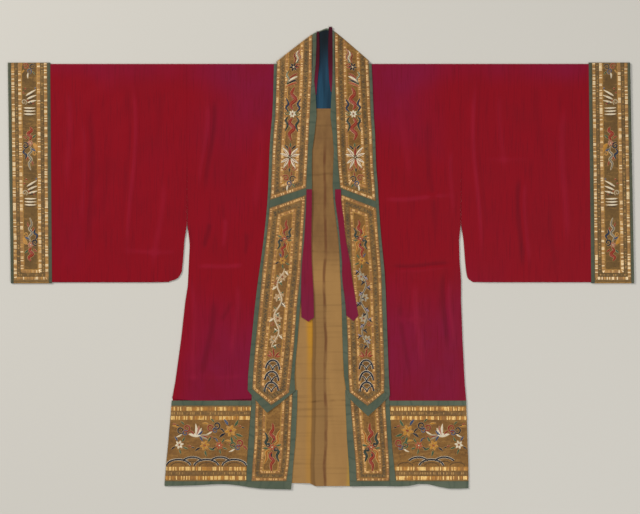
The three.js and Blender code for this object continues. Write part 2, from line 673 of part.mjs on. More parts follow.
// The foot panel below the collar's point, the hem band beside it, and their bindings.
function frontHem(shape) {
  const { name, sign, foot, bodySide } = shape;
  const bottomEdge = curve(shape.hemBottom, "out", "down");
  const level = (out, down) =>
    lerp(SIDE_SEAM_LEVEL, FRONT_LEVEL, smoothstep(bodySide(down) - out, 0, SEAM_EASE));
  const whole = { outer: bodySide, inner: foot.inner };
  const hem = { outer: bodySide, inner: (down) => foot.hemInner(down) + SEAM };
  const footTall = { sign, level, top: () => FOOT_TOP, bottom: () => HEM_GOLD_BOTTOM };
  const hemAcross = [0, 0.1, 0.28, 0.46, 0.64, 0.82, 1];
  const wholeAcross = steps(12);
  const outAt = (u) => lerp(bodySide(HEM_GOLD_BOTTOM), foot.inner(HEM_GOLD_BOTTOM), u);
  const pieces = [
    ["foot_panel", "gold_band", BAND, {
      ...footTall, outer: foot.goldOuter, inner: foot.goldInner, across: steps(4), along: steps(6),
    }],
    ["foot_outer_binding", "green_binding", BINDING, {
      ...footTall, outer: foot.hemInner, inner: foot.goldOuter, across: steps(1), along: steps(6),
    }],
    ["foot_inner_binding", "green_binding", BINDING, {
      ...footTall, outer: foot.goldInner, inner: foot.inner, across: steps(1), along: steps(6),
    }],
    ["hem_front_top_binding", "green_binding", BINDING, {
      ...hem, sign, level, top: () => SKIRT_SEAM, bottom: () => HEM_TOP,
      across: hemAcross, along: steps(1),
    }],
    ["hem_front", "gold_band", BAND, {
      ...hem, sign, level, top: () => HEM_TOP, bottom: () => HEM_GOLD_BOTTOM,
      across: hemAcross, along: steps(4),
    }],
    ["hem_front_bottom_binding", "green_binding", BINDING, {
      ...whole, sign, level, top: () => HEM_GOLD_BOTTOM, bottom: (u) => bottomEdge(outAt(u)),
      across: wholeAcross, along: steps(1),
    }],
  ];
  return pieces.map(([piece, look, thickness, grid]) =>
    wall(`${piece}_${name}`, look, panel(grid), thickness),
  );
}

function backHem(shape) {
  const { name, sign, bodySide } = shape;
  const grid = {
    sign,
    outer: (down) => bodySide(down) - BACK_TUCK,
    inner: () => 0,
    across: steps(4),
    along: steps(1),
    level: () => BACK_LEVEL,
  };
  const pieces = [
    ["hem_back_top_binding", "green_binding", SKIRT_SEAM, HEM_TOP],
    ["hem_back", "gold_band", HEM_TOP, BACK_GOLD_BOTTOM],
    ["hem_back_bottom_binding", "green_binding", BACK_GOLD_BOTTOM, BACK_BOTTOM],
  ];
  return pieces.map(([piece, look, top, bottom]) => {
    const rows = panel({ ...grid, top: () => top, bottom: () => bottom });
    return wall(`${piece}_${name}`, look, rows, SILK);
  });
}

// A ribbon that lies on the band and widens to a pointed end.
function tie(shape) {
  const { name, sign, bandLevel, collar: edges, tieTip } = shape;
  const outer = curve(shape.tie, "down", "outer");
  const inner = curve(shape.tie, "down", "inner");
  const drop = curve(shape.tie, "down", "drop");
  const start = shape.tie[0].down;
  const end = shape.tie.at(-1).down;
  const level = (out, down, u) => {
    const onBand = Math.max(out, edges.inner(down) + 1);
    return bandLevel(onBand, down) + TIE_RISE - drop(down) * u;
  };
  const tipShare = (outer(end) - tieTip.out) / (outer(end) - inner(end));
  const across = [0, tipShare, 1];
  const bottom = (u) => (u === tipShare ? tieTip.down : end);
  const rows = panel({
    sign, outer, inner, top: () => start, bottom, across, along: steps(12), level,
  });
  return wall(`tie_${name}`, "red_ribbon", rows, RIBBON);
}

function redFacing(shape) {
  const free = straight(shape.redFacing, "down", "inner");
  const rows = stripRows({
    sign: shape.sign,
    outer: (down) => shape.collar.inner(down) - SEAM,
    inner: (down) => Math.min(free(down), shape.collar.inner(down) - 1.5),
    top: () => shape.redFacing[0].down,
    bottom: () => shape.redFacing.at(-1).down,
    across: steps(1),
    level: () => FRONT_LEVEL,
  });
  return wall(`collar_red_facing_${shape.name}`, "red_ribbon", rows, RIBBON);
}

// The band behind the neck: its foot follows the neckline and its top the slanting folds.
function neckPieces(left, right) {
  const neckTop = (x) => lerp(100, 109, smoothstep(x, -4.5, 25.5));
  const shoulder = (FRONT_LEVEL - BACK_LEVEL) / 2 + SILK / 2;
  const foldUp = {
    left: straight(left.collarFold, "out", "up"),
    right: straight(right.collarFold, "out", "up"),
  };
  const foldAbove = (x) => (x < 0 ? foldUp.left(-x) : foldUp.right(x));
  const corners = [];
  for (const shape of [left, right]) {
    for (const { out, dip } of neckCorners(shape)) {
      corners.push({ x: shape.sign * (0.995 * out + SEAM), low: -shoulder - dip + 2 * SEAM });
    }
  }
  corners.sort((a, b) => a.x - b.x);
  const topAt = (x) => Math.min(foldAbove(x) - 2 * SEAM, neckTop(x) - NECK_BINDING);
  const bandRows = steps(3).map((v) =>
    corners.map(({ x, low }) => new THREE.Vector3(x, lerp(topAt(x), low, v), BACK_LEVEL)),
  );
  const bindingXs = [-8, 4, 16, 27];
  const bindingRows = [0, 1].map((v) =>
    bindingXs.map((x) => {
      const y = neckTop(x) - NECK_BINDING * v + 2 * SEAM * v;
      return new THREE.Vector3(x, Math.min(y, foldAbove(x) - 2 * SEAM), BACK_LEVEL);
    }),
  );
  const facingXs = steps(7).map((v) => lerp(-34, 54, v));
  const facingTop = (x) => Math.min(foldAbove(x) - 6, neckTop(x) - 3);
  const facingRows = steps(8).map((v) =>
    facingXs.map((x) => {
      const y = lerp(facingTop(x), -FACING_BOTTOM, v);
      return new THREE.Vector3(x, y, LINING_LEVEL);
    }),
  );
  return [
    wall("collar_neck", "gold_band", bandRows, SILK),
    wall("collar_neck_binding", "green_binding", bindingRows, SILK),
    wall("neck_facing", "blue_facing", facingRows, LINING),
  ];
}

// The lining of the back where it shows between the fronts, and a little way under them.
function lining(left, right) {
  const open = (x, down) => {
    const inLeft = down > FOOT_TOP ? left.foot.inner(down) : left.collar.inner(down);
    const inRight = down > FOOT_TOP ? right.foot.inner(down) : right.collar.inner(down);
    return smoothstep(x, 6 - inLeft, 28 - inLeft) * (1 - smoothstep(x, inRight - 28, inRight - 6));
  };
  const relief = (x, down) => {
    let height = 0;
    for (const ridge of LINING_RIDGES) {
      const share = (down - ridge.from) / (ridge.to - ridge.from);
      const middle = lerp(ridge.at, ridge.toAt, share);
      const across = (x - middle) / ridge.width;
      const window = smoothstep(share, 0, 0.15) * (1 - smoothstep(share, 0.97, 1.4));
      height = Math.max(height, ridge.height * window * Math.exp(-across * across));
    }
    return height * open(x, down);
  };
  const bottomAt = (x) => lerp(LINING_BOTTOM.left, LINING_BOTTOM.right, smoothstep(x, -34, -20));
  const rows = steps(12).map((v) =>
    steps(14).map((u) => {
      const x = lerp(-LINING_OUT.left, LINING_OUT.right, u);
      const down = lerp(FACING_BOTTOM + SEAM, bottomAt(x), v);
      return new THREE.Vector3(x, -down, LINING_LEVEL + relief(x, down));
    }),
  );
  return wall("lining_back", "tan_lining", rows, LINING);
}

function sidePieces(shape) {
  const { name, cuff } = shape;
  return [
    bodyHalf(shape),
    sleeve(shape),
    cuffRing(
      shape, `cuff_inner_binding_${name}`, "green_binding", cuff.sleeveEnd, cuff.goldInner, 1, CUFF,
    ),
    cuffRing(shape, `cuff_${name}`, "gold_band", cuff.goldInner, cuff.goldOuter, 3, BAND),
    cuffRing(
      shape, `cuff_outer_binding_${name}`, "green_binding", cuff.goldOuter, cuff.outer, 1, CUFF,
    ),
    ...collar(shape),
    ...frontHem(shape),
    ...backHem(shape),
    tie(shape),
    redFacing(shape),
  ];
}

const left = sideShape("left");
const right = sideShape("right");
const group = new THREE.Group();
group.add(...sidePieces(left), ...sidePieces(right), ...neckPieces(left, right), lining(left, right));

// The origin is the middle of the footprint, on the surface.
const box = new THREE.Box3().setFromObject(group);
const centre = box.getCenter(new THREE.Vector3());
group.position.set(-centre.x, -centre.y, -box.min.z);

export default group;
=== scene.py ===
# %% [markdown]
# # A Taoist priest's vestment, laid flat
#
# The robe is one wide T of crimson silk that opens down the front. Gold bands edge the cuffs, the
# front opening and the hem, each between narrow green bindings. It lies on a table with its front
# up, so nearly all of it is cloth on cloth. Every panel here is a thin shell on the form that its
# solid gives, and what is sewn on it is made afterwards from the same edges.

# %% Open the frame
import json
import math

import bpy
import numpy as np
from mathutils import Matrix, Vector
from mathutils.bvhtree import BVHTree


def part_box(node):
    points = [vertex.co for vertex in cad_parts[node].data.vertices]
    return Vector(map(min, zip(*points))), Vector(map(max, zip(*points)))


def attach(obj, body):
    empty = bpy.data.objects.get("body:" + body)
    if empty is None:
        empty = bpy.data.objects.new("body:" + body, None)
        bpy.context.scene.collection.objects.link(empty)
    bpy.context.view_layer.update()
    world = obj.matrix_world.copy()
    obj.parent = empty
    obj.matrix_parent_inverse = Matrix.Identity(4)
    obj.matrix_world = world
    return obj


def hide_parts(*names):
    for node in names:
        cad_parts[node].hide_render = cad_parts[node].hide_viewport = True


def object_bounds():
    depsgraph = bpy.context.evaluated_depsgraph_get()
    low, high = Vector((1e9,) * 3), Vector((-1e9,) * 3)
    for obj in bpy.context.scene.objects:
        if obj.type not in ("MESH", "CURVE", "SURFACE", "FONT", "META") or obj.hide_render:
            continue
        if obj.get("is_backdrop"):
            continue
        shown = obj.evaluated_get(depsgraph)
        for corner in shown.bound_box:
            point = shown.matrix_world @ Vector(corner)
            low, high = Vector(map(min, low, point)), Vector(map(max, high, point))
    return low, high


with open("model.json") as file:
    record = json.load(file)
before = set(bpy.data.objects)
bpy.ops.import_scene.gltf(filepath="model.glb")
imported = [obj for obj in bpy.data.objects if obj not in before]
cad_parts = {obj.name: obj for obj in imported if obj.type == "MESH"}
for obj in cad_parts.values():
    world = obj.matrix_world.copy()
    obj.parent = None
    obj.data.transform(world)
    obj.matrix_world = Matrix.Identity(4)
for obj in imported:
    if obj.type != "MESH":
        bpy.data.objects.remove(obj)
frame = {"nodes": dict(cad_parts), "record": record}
cad_low, cad_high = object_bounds()
MM = 0.001
slot_of = {part["node"]: part["material_slot"] for part in frame["record"]["subparts"]}
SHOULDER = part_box("sleeve_left")[1].y
CENTRE = (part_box("body_left")[1].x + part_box("body_right")[0].x) / 2
print(len(slot_of), "panels; shoulder fold at y", round(SHOULDER, 4), "and centre at x", round(CENTRE, 4))

# %% [markdown]
# ## Reading a panel's edges
#
# Each solid is a flat wall, so its form is an outline seen from above and a height at each place.
# The outline is the line of edges that only one of the upward faces has. Sleeves, cuffs and the
# parts that fold over have a second layer below, which the height of the front layer leaves out.

# %% The faces, outline and thickness of one layer
FOLDED = ("body", "sleeve", "cuff", "collar_upper")
BETWEEN_LAYERS = 2 * MM
LEVEL_ENOUGH = 0.97
GRAIN = 1e-5
TINY = 1e-12


def triangles(node):
    mesh = frame["nodes"][node].data
    points = np.empty(len(mesh.vertices) * 3)
    mesh.vertices.foreach_get("co", points)
    corners = np.empty(len(mesh.loops), int)
    mesh.loops.foreach_get("vertex_index", corners)
    return points.reshape(-1, 3)[corners.reshape(-1, 3)]


def outline(faces):
    """The closed line round some faces, seen from above, as x and y."""
    directed = set()
    for corners in np.round(faces[:, :, :2] / GRAIN).astype(int):
        a, b, c = map(tuple, corners)
        directed |= {(a, b), (b, c), (c, a)}
    following = {a: b for a, b in directed if (b, a) not in directed}
    loop = [min(following)]
    while following[loop[-1]] != loop[0]:
        loop.append(following[loop[-1]])
    return np.array(loop) * GRAIN


def layer(node, back=False):
    """One layer of a node: its outline, the search tree of its upper face, its thickness and level."""
    faces = triangles(node)
    normals = np.cross(faces[:, 1] - faces[:, 0], faces[:, 2] - faces[:, 0])
    areas = np.maximum(np.linalg.norm(normals, axis=1), TINY)
    slopes = normals[:, 2] / areas
    heights = faces[:, :, 2].mean(1)
    split = BETWEEN_LAYERS if node.startswith(FOLDED) else -1
    here = heights < BETWEEN_LAYERS if back else heights > split
    above = here & (slopes > LEVEL_ENOUGH)
    below = here & (slopes < -LEVEL_ENOUGH)
    top = np.average(heights[above], weights=areas[above])
    bottom = np.average(heights[below], weights=areas[below])
    corners = faces[above]
    tree = BVHTree.FromPolygons(
        corners.reshape(-1, 3).tolist(),
        np.arange(3 * len(corners)).reshape(-1, 3).tolist(),
    )
    return {"loop": outline(corners), "tree": tree, "thick": top - bottom, "middle": (top + bottom) / 2}


layers = {node: layer(node) for node in slot_of}
shown = ("body_left", "cuff_left", "lining_back")
print("thickness in mm:", {node: round(layers[node]["thick"] / MM, 2) for node in shown})

# %% [markdown]
# ## Four sides and a grid
#
# A panel of cloth is easiest to work on as a grid whose rows and columns follow its own edges. The
# four corners split the outline into sides, and each inner point is blended from the four sides,
# which is called a Coons patch. The V-shaped binding of the collar's point needs its corners named.

# %% Corners, sides and the blended grid
# Which way each corner lies, and where the V's four end corners lie as shares of its box
CORNER_SIGNS = {"top_left": (-1, 1), "bottom_left": (-1, -1), "bottom_right": (1, -1), "top_right": (1, 1)}
POINT_CORNERS = {
    "outer_top": (0.88, 1.0), "outer_bottom": (1.0, 0.9),
    "inner_bottom": (0.0, 0.89), "inner_top": (0.12, 0.9),
}
WIDE_ENDS = 5
TURN_OF_A_CORNER = math.radians(12)
TURN_OF_A_CREASE = math.radians(15)


def turns(line):
    """How far an open line turns at each of its inner points."""
    steps = np.diff(line, axis=0)
    headings = np.unwrap(np.arctan2(steps[:, 1], steps[:, 0]))
    return np.abs(np.diff(headings))


def corner_places(node, loop):
    """Which points of an outline are its corners, round from the top left."""
    closed = np.vstack([loop[-1:], loop, loop[:1]])
    sharp = np.flatnonzero(turns(closed) > TURN_OF_A_CORNER)
    share = ((loop - loop.min(0)) / np.ptp(loop, axis=0))[sharp]
    if not node.startswith("collar_lower_point_binding"):
        sideways = WIDE_ENDS if node.startswith("collar_neck") else 1
        signs = np.array(list(CORNER_SIGNS.values())) * [sideways, 1]
        return [int(sharp[np.argmax(share @ sign)]) for sign in signs]
    if node.endswith("left"):
        share[:, 0] = 1 - share[:, 0]
    nearest = {
        name: int(sharp[np.argmin(np.linalg.norm(share - np.array(place), axis=1))])
        for name, place in POINT_CORNERS.items()
    }
    order = ["outer_top", "outer_bottom", "inner_bottom", "inner_top"]
    if node.endswith("right"):
        order = ["inner_top", "inner_bottom", "outer_bottom", "outer_top"]
    return [nearest[name] for name in order]


def sides(node):
    """The left, bottom, right and top of a panel, each as points that run down or to the right."""
    loop = layers[node]["loop"]
    places = corner_places(node, loop)
    chains = []
    for start, end in zip(places, places[1:] + places[:1]):
        chains.append(loop[np.arange(start, end + 1 if end > start else end + 1 + len(loop)) % len(loop)])
    left, bottom, right, top = chains
    return {"left": left, "bottom": bottom, "right": right[::-1], "top": top[::-1]}


def length_of(line):
    return float(np.linalg.norm(np.diff(line, axis=0), axis=1).sum())


def spread(line, count):
    """Evenly spaced points on a line, with one on each of its sharp bends."""
    run = np.concatenate([[0], np.cumsum(np.linalg.norm(np.diff(line, axis=0), axis=1))])
    even = np.linspace(0, run[-1], count)
    points = np.stack([np.interp(even, run, line[:, axis]) for axis in range(line.shape[1])], axis=1)
    for bend in np.flatnonzero(turns(line) > TURN_OF_A_CREASE) + 1:
        nearest = 1 + np.argmin(np.abs(even[1:-1] - run[bend]))
        points[nearest] = line[bend]
    return points


def blended(edges, spacing, least=4):
    """A grid of points, rows from top to bottom and columns from left to right."""
    wide = max(least, round((length_of(edges["top"]) + length_of(edges["bottom"])) / 2 / spacing))
    tall = max(least, round((length_of(edges["left"]) + length_of(edges["right"])) / 2 / spacing))
    top, bottom = spread(edges["top"], wide + 1), spread(edges["bottom"], wide + 1)
    left, right = spread(edges["left"], tall + 1), spread(edges["right"], tall + 1)
    u = np.linspace(0, 1, wide + 1)[None, :, None]
    v = np.linspace(0, 1, tall + 1)[:, None, None]
    across = (1 - v) * top[None] + v * bottom[None]
    down = (1 - u) * left[:, None] + u * right[:, None]
    corners = (1 - v) * ((1 - u) * top[0] + u * top[-1]) + v * ((1 - u) * bottom[0] + u * bottom[-1])
    return across + down - corners


hem_edges = sides("hem_front_left")
hem_sizes = {name: round(length_of(hem_edges[name]), 3) for name in ("top", "left")}
print("edges of the left front hem in m:", hem_sizes)

# %% [markdown]
# ## Heights, and the creases of the cloth
#
# The solids carry the large folds. What pressing and storing leave on silk is finer: long soft
# ridges and troughs, each of its own length, depth and width. They are given as short tables,
# in millimetres out from the centre seam and down from the shoulder fold, and they fade out before
# a seam, where the next panel lies close.

# %% Tables of creases
CREASES = {
    "body_left": [
        # out, down, to out, to down, width, height
        (320, 84, 344, 400, 11, -1.1), (334, 90, 357, 395, 12, 0.8), (332, 470, 348, 560, 9, -0.9),
        (287, 455, 288, 560, 8, 0.8), (221, 500, 223, 580, 8, -0.7), (222, 600, 380, 612, 8, 0.9),
        (250, 640, 262, 900, 10, 0.7), (318, 690, 352, 965, 12, -0.9), (180, 150, 190, 470, 16, 0.5),
        (392, 620, 372, 980, 10, 0.6), (262, 705, 300, 780, 10, -0.6), (210, 930, 430, 948, 9, 0.5),
    ],
    "body_right": [
        (178, 404, 402, 398, 8, 0.9), (200, 606, 404, 602, 9, -1.0), (206, 616, 404, 613, 8, 0.7),
        (371, 612, 376, 870, 11, -1.0), (388, 625, 392, 860, 10, 0.8), (245, 70, 262, 380, 16, 0.5),
        (330, 120, 338, 560, 13, -0.6), (286, 640, 300, 930, 12, 0.8), (240, 690, 262, 960, 10, -0.7),
        (206, 760, 330, 772, 9, 0.5), (395, 240, 392, 470, 9, 0.6),
    ],
    "sleeve_left": [
        (567, 20, 569, 610, 9, 0.9), (579, 30, 580, 590, 9, -0.6), (700, 110, 683, 600, 13, -0.8),
        (716, 140, 700, 520, 12, 0.6), (470, 330, 500, 640, 12, 0.6), (640, 250, 648, 480, 14, -0.5),
        (420, 560, 600, 566, 9, 0.6), (760, 60, 752, 400, 12, 0.6), (480, 60, 486, 290, 13, -0.5),
    ],
    "sleeve_right": [
        (470, 20, 471, 610, 9, 0.9), (482, 40, 482, 560, 8, -0.6), (599, 320, 601, 640, 11, -1.0),
        (614, 330, 616, 630, 10, 0.8), (735, 100, 728, 575, 13, 0.7), (650, 40, 664, 330, 14, -0.5),
        (540, 70, 545, 350, 12, 0.5), (690, 420, 700, 640, 11, -0.6), (480, 280, 640, 290, 9, 0.4),
    ],
    "lining_back": [
        (-22, 140, -20, 640, 5, -0.5), (-30, 300, -27, 860, 7, 0.5), (12, 145, 15, 520, 6, 0.5),
        (24, 160, 27, 560, 7, -0.4), (-46, 700, -40, 1240, 6, -0.7), (16, 640, 24, 1250, 6, 0.6),
        (-30, 930, 60, 944, 6, 0.5), (34, 770, 42, 1250, 5, -0.7), (-60, 1120, 70, 1108, 7, 0.4),
    ],
    "neck_facing": [(-12, -70, -10, 120, 6, 0.6), (6, -80, 12, 125, 6, -0.4), (24, -60, 26, 120, 7, 0.6)],
}
SWELL = {"red_silk": 0.35, "tan_lining": 0.25, "gold_band": 0.22, "green_binding": 0.12,
         "red_ribbon": 0.15, "blue_facing": 0.25}
SWELL_WAVES = 10
SWELL_LENGTHS = (60, 230)
SEAM_FADE = {"red_silk": (13, 34), "tan_lining": (8, 24), "blue_facing": (3, 12)}
PLAIN_FADE = (1, 8)
CREASE_STARTS, CREASE_ENDS = (-0.02, 0.2), (0.75, 1.04)
CREASE_BOW, BOW_HALF_WAVES = 0.02, 1.7
SOFTENED = 5


def smoothstep(value, low, high):
    share = np.clip((value - low) / (high - low), 0, 1)
    return share * share * (3 - 2 * share)


def distance_to(line, points):
    """How far each point is from a closed line, seen from above."""
    start = line
    step = np.roll(line, -1, axis=0) - line
    size = np.maximum((step**2).sum(1), TINY)
    flat = points.reshape(-1, 2)
    nearest = np.full(len(flat), np.inf)
    for corner, along, square in zip(start, step, size):
        share = np.clip(((flat - corner) @ along) / square, 0, 1)
        gap = flat - corner - share[:, None] * along
        nearest = np.minimum(nearest, (gap**2).sum(1))
    return np.sqrt(nearest).reshape(points.shape[:-1])


def crease_height(node, points):
    """The creases of one panel at some places, in metres."""
    sign = -1 if node.endswith("left") else 1
    out = sign * (points[..., 0] - CENTRE) / MM
    down = (SHOULDER - points[..., 1]) / MM
    height = np.zeros(out.shape)
    for out0, down0, out1, down1, width, rise in CREASES.get(node, []):
        along = np.array([out1 - out0, down1 - down0], float)
        size = np.linalg.norm(along)
        along /= size
        run = ((out - out0) * along[0] + (down - down0) * along[1]) / size
        bow = CREASE_BOW * size * np.sin(BOW_HALF_WAVES * math.pi * np.clip(run, 0, 1))
        side = (out - out0) * along[1] - (down - down0) * along[0] + bow
        ends = smoothstep(run, *CREASE_STARTS) * (1 - smoothstep(run, *CREASE_ENDS))
        height += rise * ends * np.exp(-((side / width) ** 2))
    return height * MM


def swell(node, points):
    """Slow uneven rises and dips of a panel that isn't pulled flat, in metres."""
    draw = np.random.default_rng(sum(map(ord, node)))
    total = np.zeros(points.shape[:-1])
    for _ in range(SWELL_WAVES):
        heading, phase = draw.uniform(0, 2 * math.pi, 2)
        length = draw.uniform(*SWELL_LENGTHS) * MM
        run = points[..., 0] * math.cos(heading) + points[..., 1] * math.sin(heading)
        total += np.sin(2 * math.pi * run / length + phase)
    return total * SWELL[slot_of[node]] * MM / math.sqrt(SWELL_WAVES)


def soften(values, times):
    """Rounds the facets of a grid of heights, and leaves its rim where it is."""
    values = values.copy()
    for _ in range(times):
        values[1:-1] = (values[:-2] + 2 * values[1:-1] + values[2:]) / 4
        values[:, 1:-1] = (values[:, :-2] + 2 * values[:, 1:-1] + values[:, 2:]) / 4
    return values


def front_heights(node, points):
    """The middle of a panel's front layer at a grid of places."""
    tree, thick = layers[node]["tree"], layers[node]["thick"]
    guess = layers[node]["middle"]
    flat = [tree.find_nearest(Vector((x, y, guess)))[0].z for x, y in points.reshape(-1, 2)]
    base = soften(np.array(flat).reshape(points.shape[:2]), SOFTENED) - thick / 2
    from_seam = distance_to(layers[node]["loop"], points) / MM
    fade = smoothstep(from_seam, *SEAM_FADE.get(slot_of[node], PLAIN_FADE))
    return np.maximum(base + fade * (crease_height(node, points) + swell(node, points)), thick / 2)


print(sum(len(rows) for rows in CREASES.values()), "creases set by hand")

# %% [markdown]
# ## A wall of cloth
#
# A sheet with no thickness has no edge to catch the light and can't be a solid. Each grid of middle
# points therefore gets two faces, half the thickness up and down along its own normal, and rims
# that close them. A sleeve's grid also closes on itself, as a tube does.

# %% The closed shell and its mesh
SHARP_EDGE = math.radians(50)


def quads(*corners):
    """One face for each place of four grids of corners."""
    return np.stack(corners, axis=-1).reshape(-1, 4)


def shell(grid, thick, closed=False):
    """The points and faces of a wall of cloth about a grid of middle points."""
    if closed:
        down = np.roll(grid, -1, axis=0) - np.roll(grid, 1, axis=0)
    else:
        down = np.gradient(grid, axis=0)
    normal = np.cross(down, np.gradient(grid, axis=1))
    normal /= np.maximum(np.linalg.norm(normal, axis=2, keepdims=True), TINY)
    reach = normal * np.broadcast_to(thick, grid.shape[:2])[..., None] / 2
    rows, columns = grid.shape[:2]
    under = rows * columns
    index = np.arange(under).reshape(rows, columns)
    if closed:
        index = np.vstack([index, index[:1]])
    a, b, c, d = index[:-1, :-1], index[1:, :-1], index[1:, 1:], index[:-1, 1:]
    left, right, first, last = index[:, 0], index[:, -1], index[0], index[-1]
    faces = [
        quads(a, b, c, d),
        quads(a, d, c, b) + under,
        quads(left[:-1] + under, left[1:] + under, left[1:], left[:-1]),
        quads(right[:-1], right[1:], right[1:] + under, right[:-1] + under),
    ]
    if not closed:
        faces.append(quads(first[:-1], first[1:], first[1:] + under, first[:-1] + under))
        faces.append(quads(last[:-1] + under, last[1:] + under, last[1:], last[:-1]))
    points = np.concatenate([(grid + reach).reshape(-1, 3), (grid - reach).reshape(-1, 3)])
    return points, np.concatenate(faces)


def add_mesh(name, points, faces, material, sharp=SHARP_EDGE):
    mesh = bpy.data.meshes.new(name)
    mesh.from_pydata(points.tolist(), [], faces.tolist() if hasattr(faces, "tolist") else faces)
    mesh.materials.append(material)
    mesh.shade_smooth()
    mesh.set_sharp_from_angle(angle=sharp)
    made = bpy.data.objects.new(name, mesh)
    bpy.context.scene.collection.objects.link(made)
    return made


def add_uv(piece, uv):
    corners = np.empty(len(piece.data.loops), int)
    piece.data.loops.foreach_get("vertex_index", corners)
    flat = piece.data.uv_layers.new(name="cloth")
    flat.uv.foreach_set("vector", uv[corners].astype(np.float32).ravel())


def add_values(piece, name, values):
    made = piece.data.attributes.new(name, "FLOAT", "POINT")
    made.data.foreach_set("value", np.ravel(values).astype(np.float32))


def steps_along(grid, axis):
    """How far each point of a grid lies along its row or column."""
    gaps = np.linalg.norm(np.diff(grid, axis=axis), axis=2)
    start = np.zeros_like(np.take(gaps, [0], axis=axis))
    return np.concatenate([start, np.cumsum(gaps, axis=axis)], axis=axis)


print("a wall has two faces, and rims on all four sides, or on two where it is a tube")

# %% [markdown]
# ## Shader arithmetic
#
# The finishes below are sums and products of a few patterns. A small class wraps a socket, so that
# an expression such as `1 - mask * 0.4` adds the Math nodes for it, and one method adds any other
# node from its type, its settings and the values or links of its sockets.

# %% Values and finishes


def join(socket, term):
    if isinstance(term, Value):
        socket.id_data.links.new(term.socket, socket)
    else:
        socket.default_value = term


def pick(sockets, key):
    if isinstance(key, int):
        return sockets[key]
    return next(s for s in sockets if key in (s.identifier, s.name))


class Value:
    """A number, colour or vector that a node gives."""

    def __init__(self, socket):
        self.socket = socket

    def maths(self, operation, *terms):
        node = self.socket.id_data.nodes.new("ShaderNodeMath")
        node.operation = operation
        for socket, term in zip(node.inputs, terms):
            join(socket, term)
        return Value(node.outputs[0])

    def __add__(self, other):
        return self.maths("ADD", self, other)

    def __sub__(self, other):
        return self.maths("SUBTRACT", self, other)

    def __rsub__(self, other):
        return self.maths("SUBTRACT", other, self)

    def __mul__(self, other):
        return self.maths("MULTIPLY", self, other)

    __radd__ = __add__
    __rmul__ = __mul__


class Finish:
    """A material made of a Principled shader and the nodes that feed it."""

    def __init__(self, name, **constants):
        self.material = bpy.data.materials.new(name)
        self.material.use_nodes = True
        self.tree = self.material.node_tree
        self.shader = self.tree.nodes["Principled BSDF"]
        for key, value in constants.items():
            pick(self.shader.inputs, key.replace("_", " ")).default_value = value

    def node(self, kind, sockets=None, output=0, stops=None, **settings):
        made = self.tree.nodes.new("ShaderNode" + kind)
        for key, value in settings.items():
            setattr(made, key, value)
        if stops:
            ramp = made.color_ramp.elements
            while len(ramp) < len(stops):
                ramp.new(1)
            for element, (place, colour) in zip(ramp, stops):
                element.position, element.color = place, colour
        for key, term in (sockets or {}).items():
            join(pick(made.inputs, key), term)
        return Value(pick(made.outputs, output))

    def mix(self, factor, first, second, blend="MIX"):
        sockets = {"Factor_Float": factor, "A_Color": first, "B_Color": second}
        return self.node("Mix", sockets, "Result_Color", data_type="RGBA", blend_type=blend)

    def tone(self, colour, mask, strength, code):
        """A colour, turned towards another by a strength where a mask is on."""
        return self.mix(mask * strength, colour, shade(code))

    def attribute(self, name, kind="Fac"):
        return self.node("Attribute", output=kind, attribute_name=name, attribute_type="GEOMETRY")

    def noise(self, place, scale, stretch=(1, 1, 1), detail=2.0, roughness=0.5):
        """Soft uneven patches about 1 / scale metres across, from 0 to 1."""
        moved = self.node("Mapping", {"Vector": place, "Scale": stretch})
        sockets = {"Vector": moved, "Scale": scale, "Detail": detail, "Roughness": roughness}
        return self.node("TexNoise", sockets)

    def between(self, value, low, high):
        """0 below low, 1 above high and a soft step between them."""
        sockets = {"Value": value, "From Min": low, "From Max": high}
        return self.node("MapRange", sockets, interpolation_type="SMOOTHSTEP", clamp=True)

    def window(self, value, low, high, soft_low, soft_high):
        """1 from low to high, falling to 0 over a soft margin on either side."""
        return self.between(value, low - soft_low, low) * (1 - self.between(value, high, high + soft_high))

    def near(self, value, middle, reach, soft):
        """1 within reach of the middle, falling to 0 over the soft margin."""
        gap = value.maths("ABSOLUTE", value - middle)
        return 1 - self.between(gap, reach, reach + soft)

    def bump(self, height, distance, strength=1.0):
        return self.node("Bump", {"Height": height, "Distance": distance, "Strength": strength})

    def feed(self, **links):
        for key, value in links.items():
            join(pick(self.shader.inputs, key.replace("_", " ")), value)
        return self.material


def shade(code):
    """A screen colour such as 8c6b3a as the linear colour that a shader wants."""
    parts = [int(code[i:i + 2], 16) / 255 for i in (0, 2, 4)]
    return tuple(p / 12.92 if p <= 0.04045 else ((p + 0.055) / 1.055) ** 2.4 for p in parts) + (1.0,)


print("crimson as a linear colour:", [round(v, 3) for v in shade("8a1228")])

# %% [markdown]
# ## Crimson silk
#
# The silk is a light plain weave in a deep crimson. The dye has aged unevenly, to a cooler red by
# the collar and towards the hem, and its threads show as faint upright streaks. The patterns read
# the object's own coordinates, so they run on from panel to panel as the lengths of silk do.

# %% The silk and the ribbon
# Where the silk is cooler, and where shadow is painted inside the neck: from and to, in metres up
# the robe or out from its centre
UP = {"skirt": (-0.33, 0.05), "collar": (0.2, 0.56), "shoulder": (0.47, 0.58), "neck": (0.46, 0.62)}
OUT = {"body": (0.36, 0.5), "collar": (0.2, 0.46), "neck": (0.03, 0.06)}


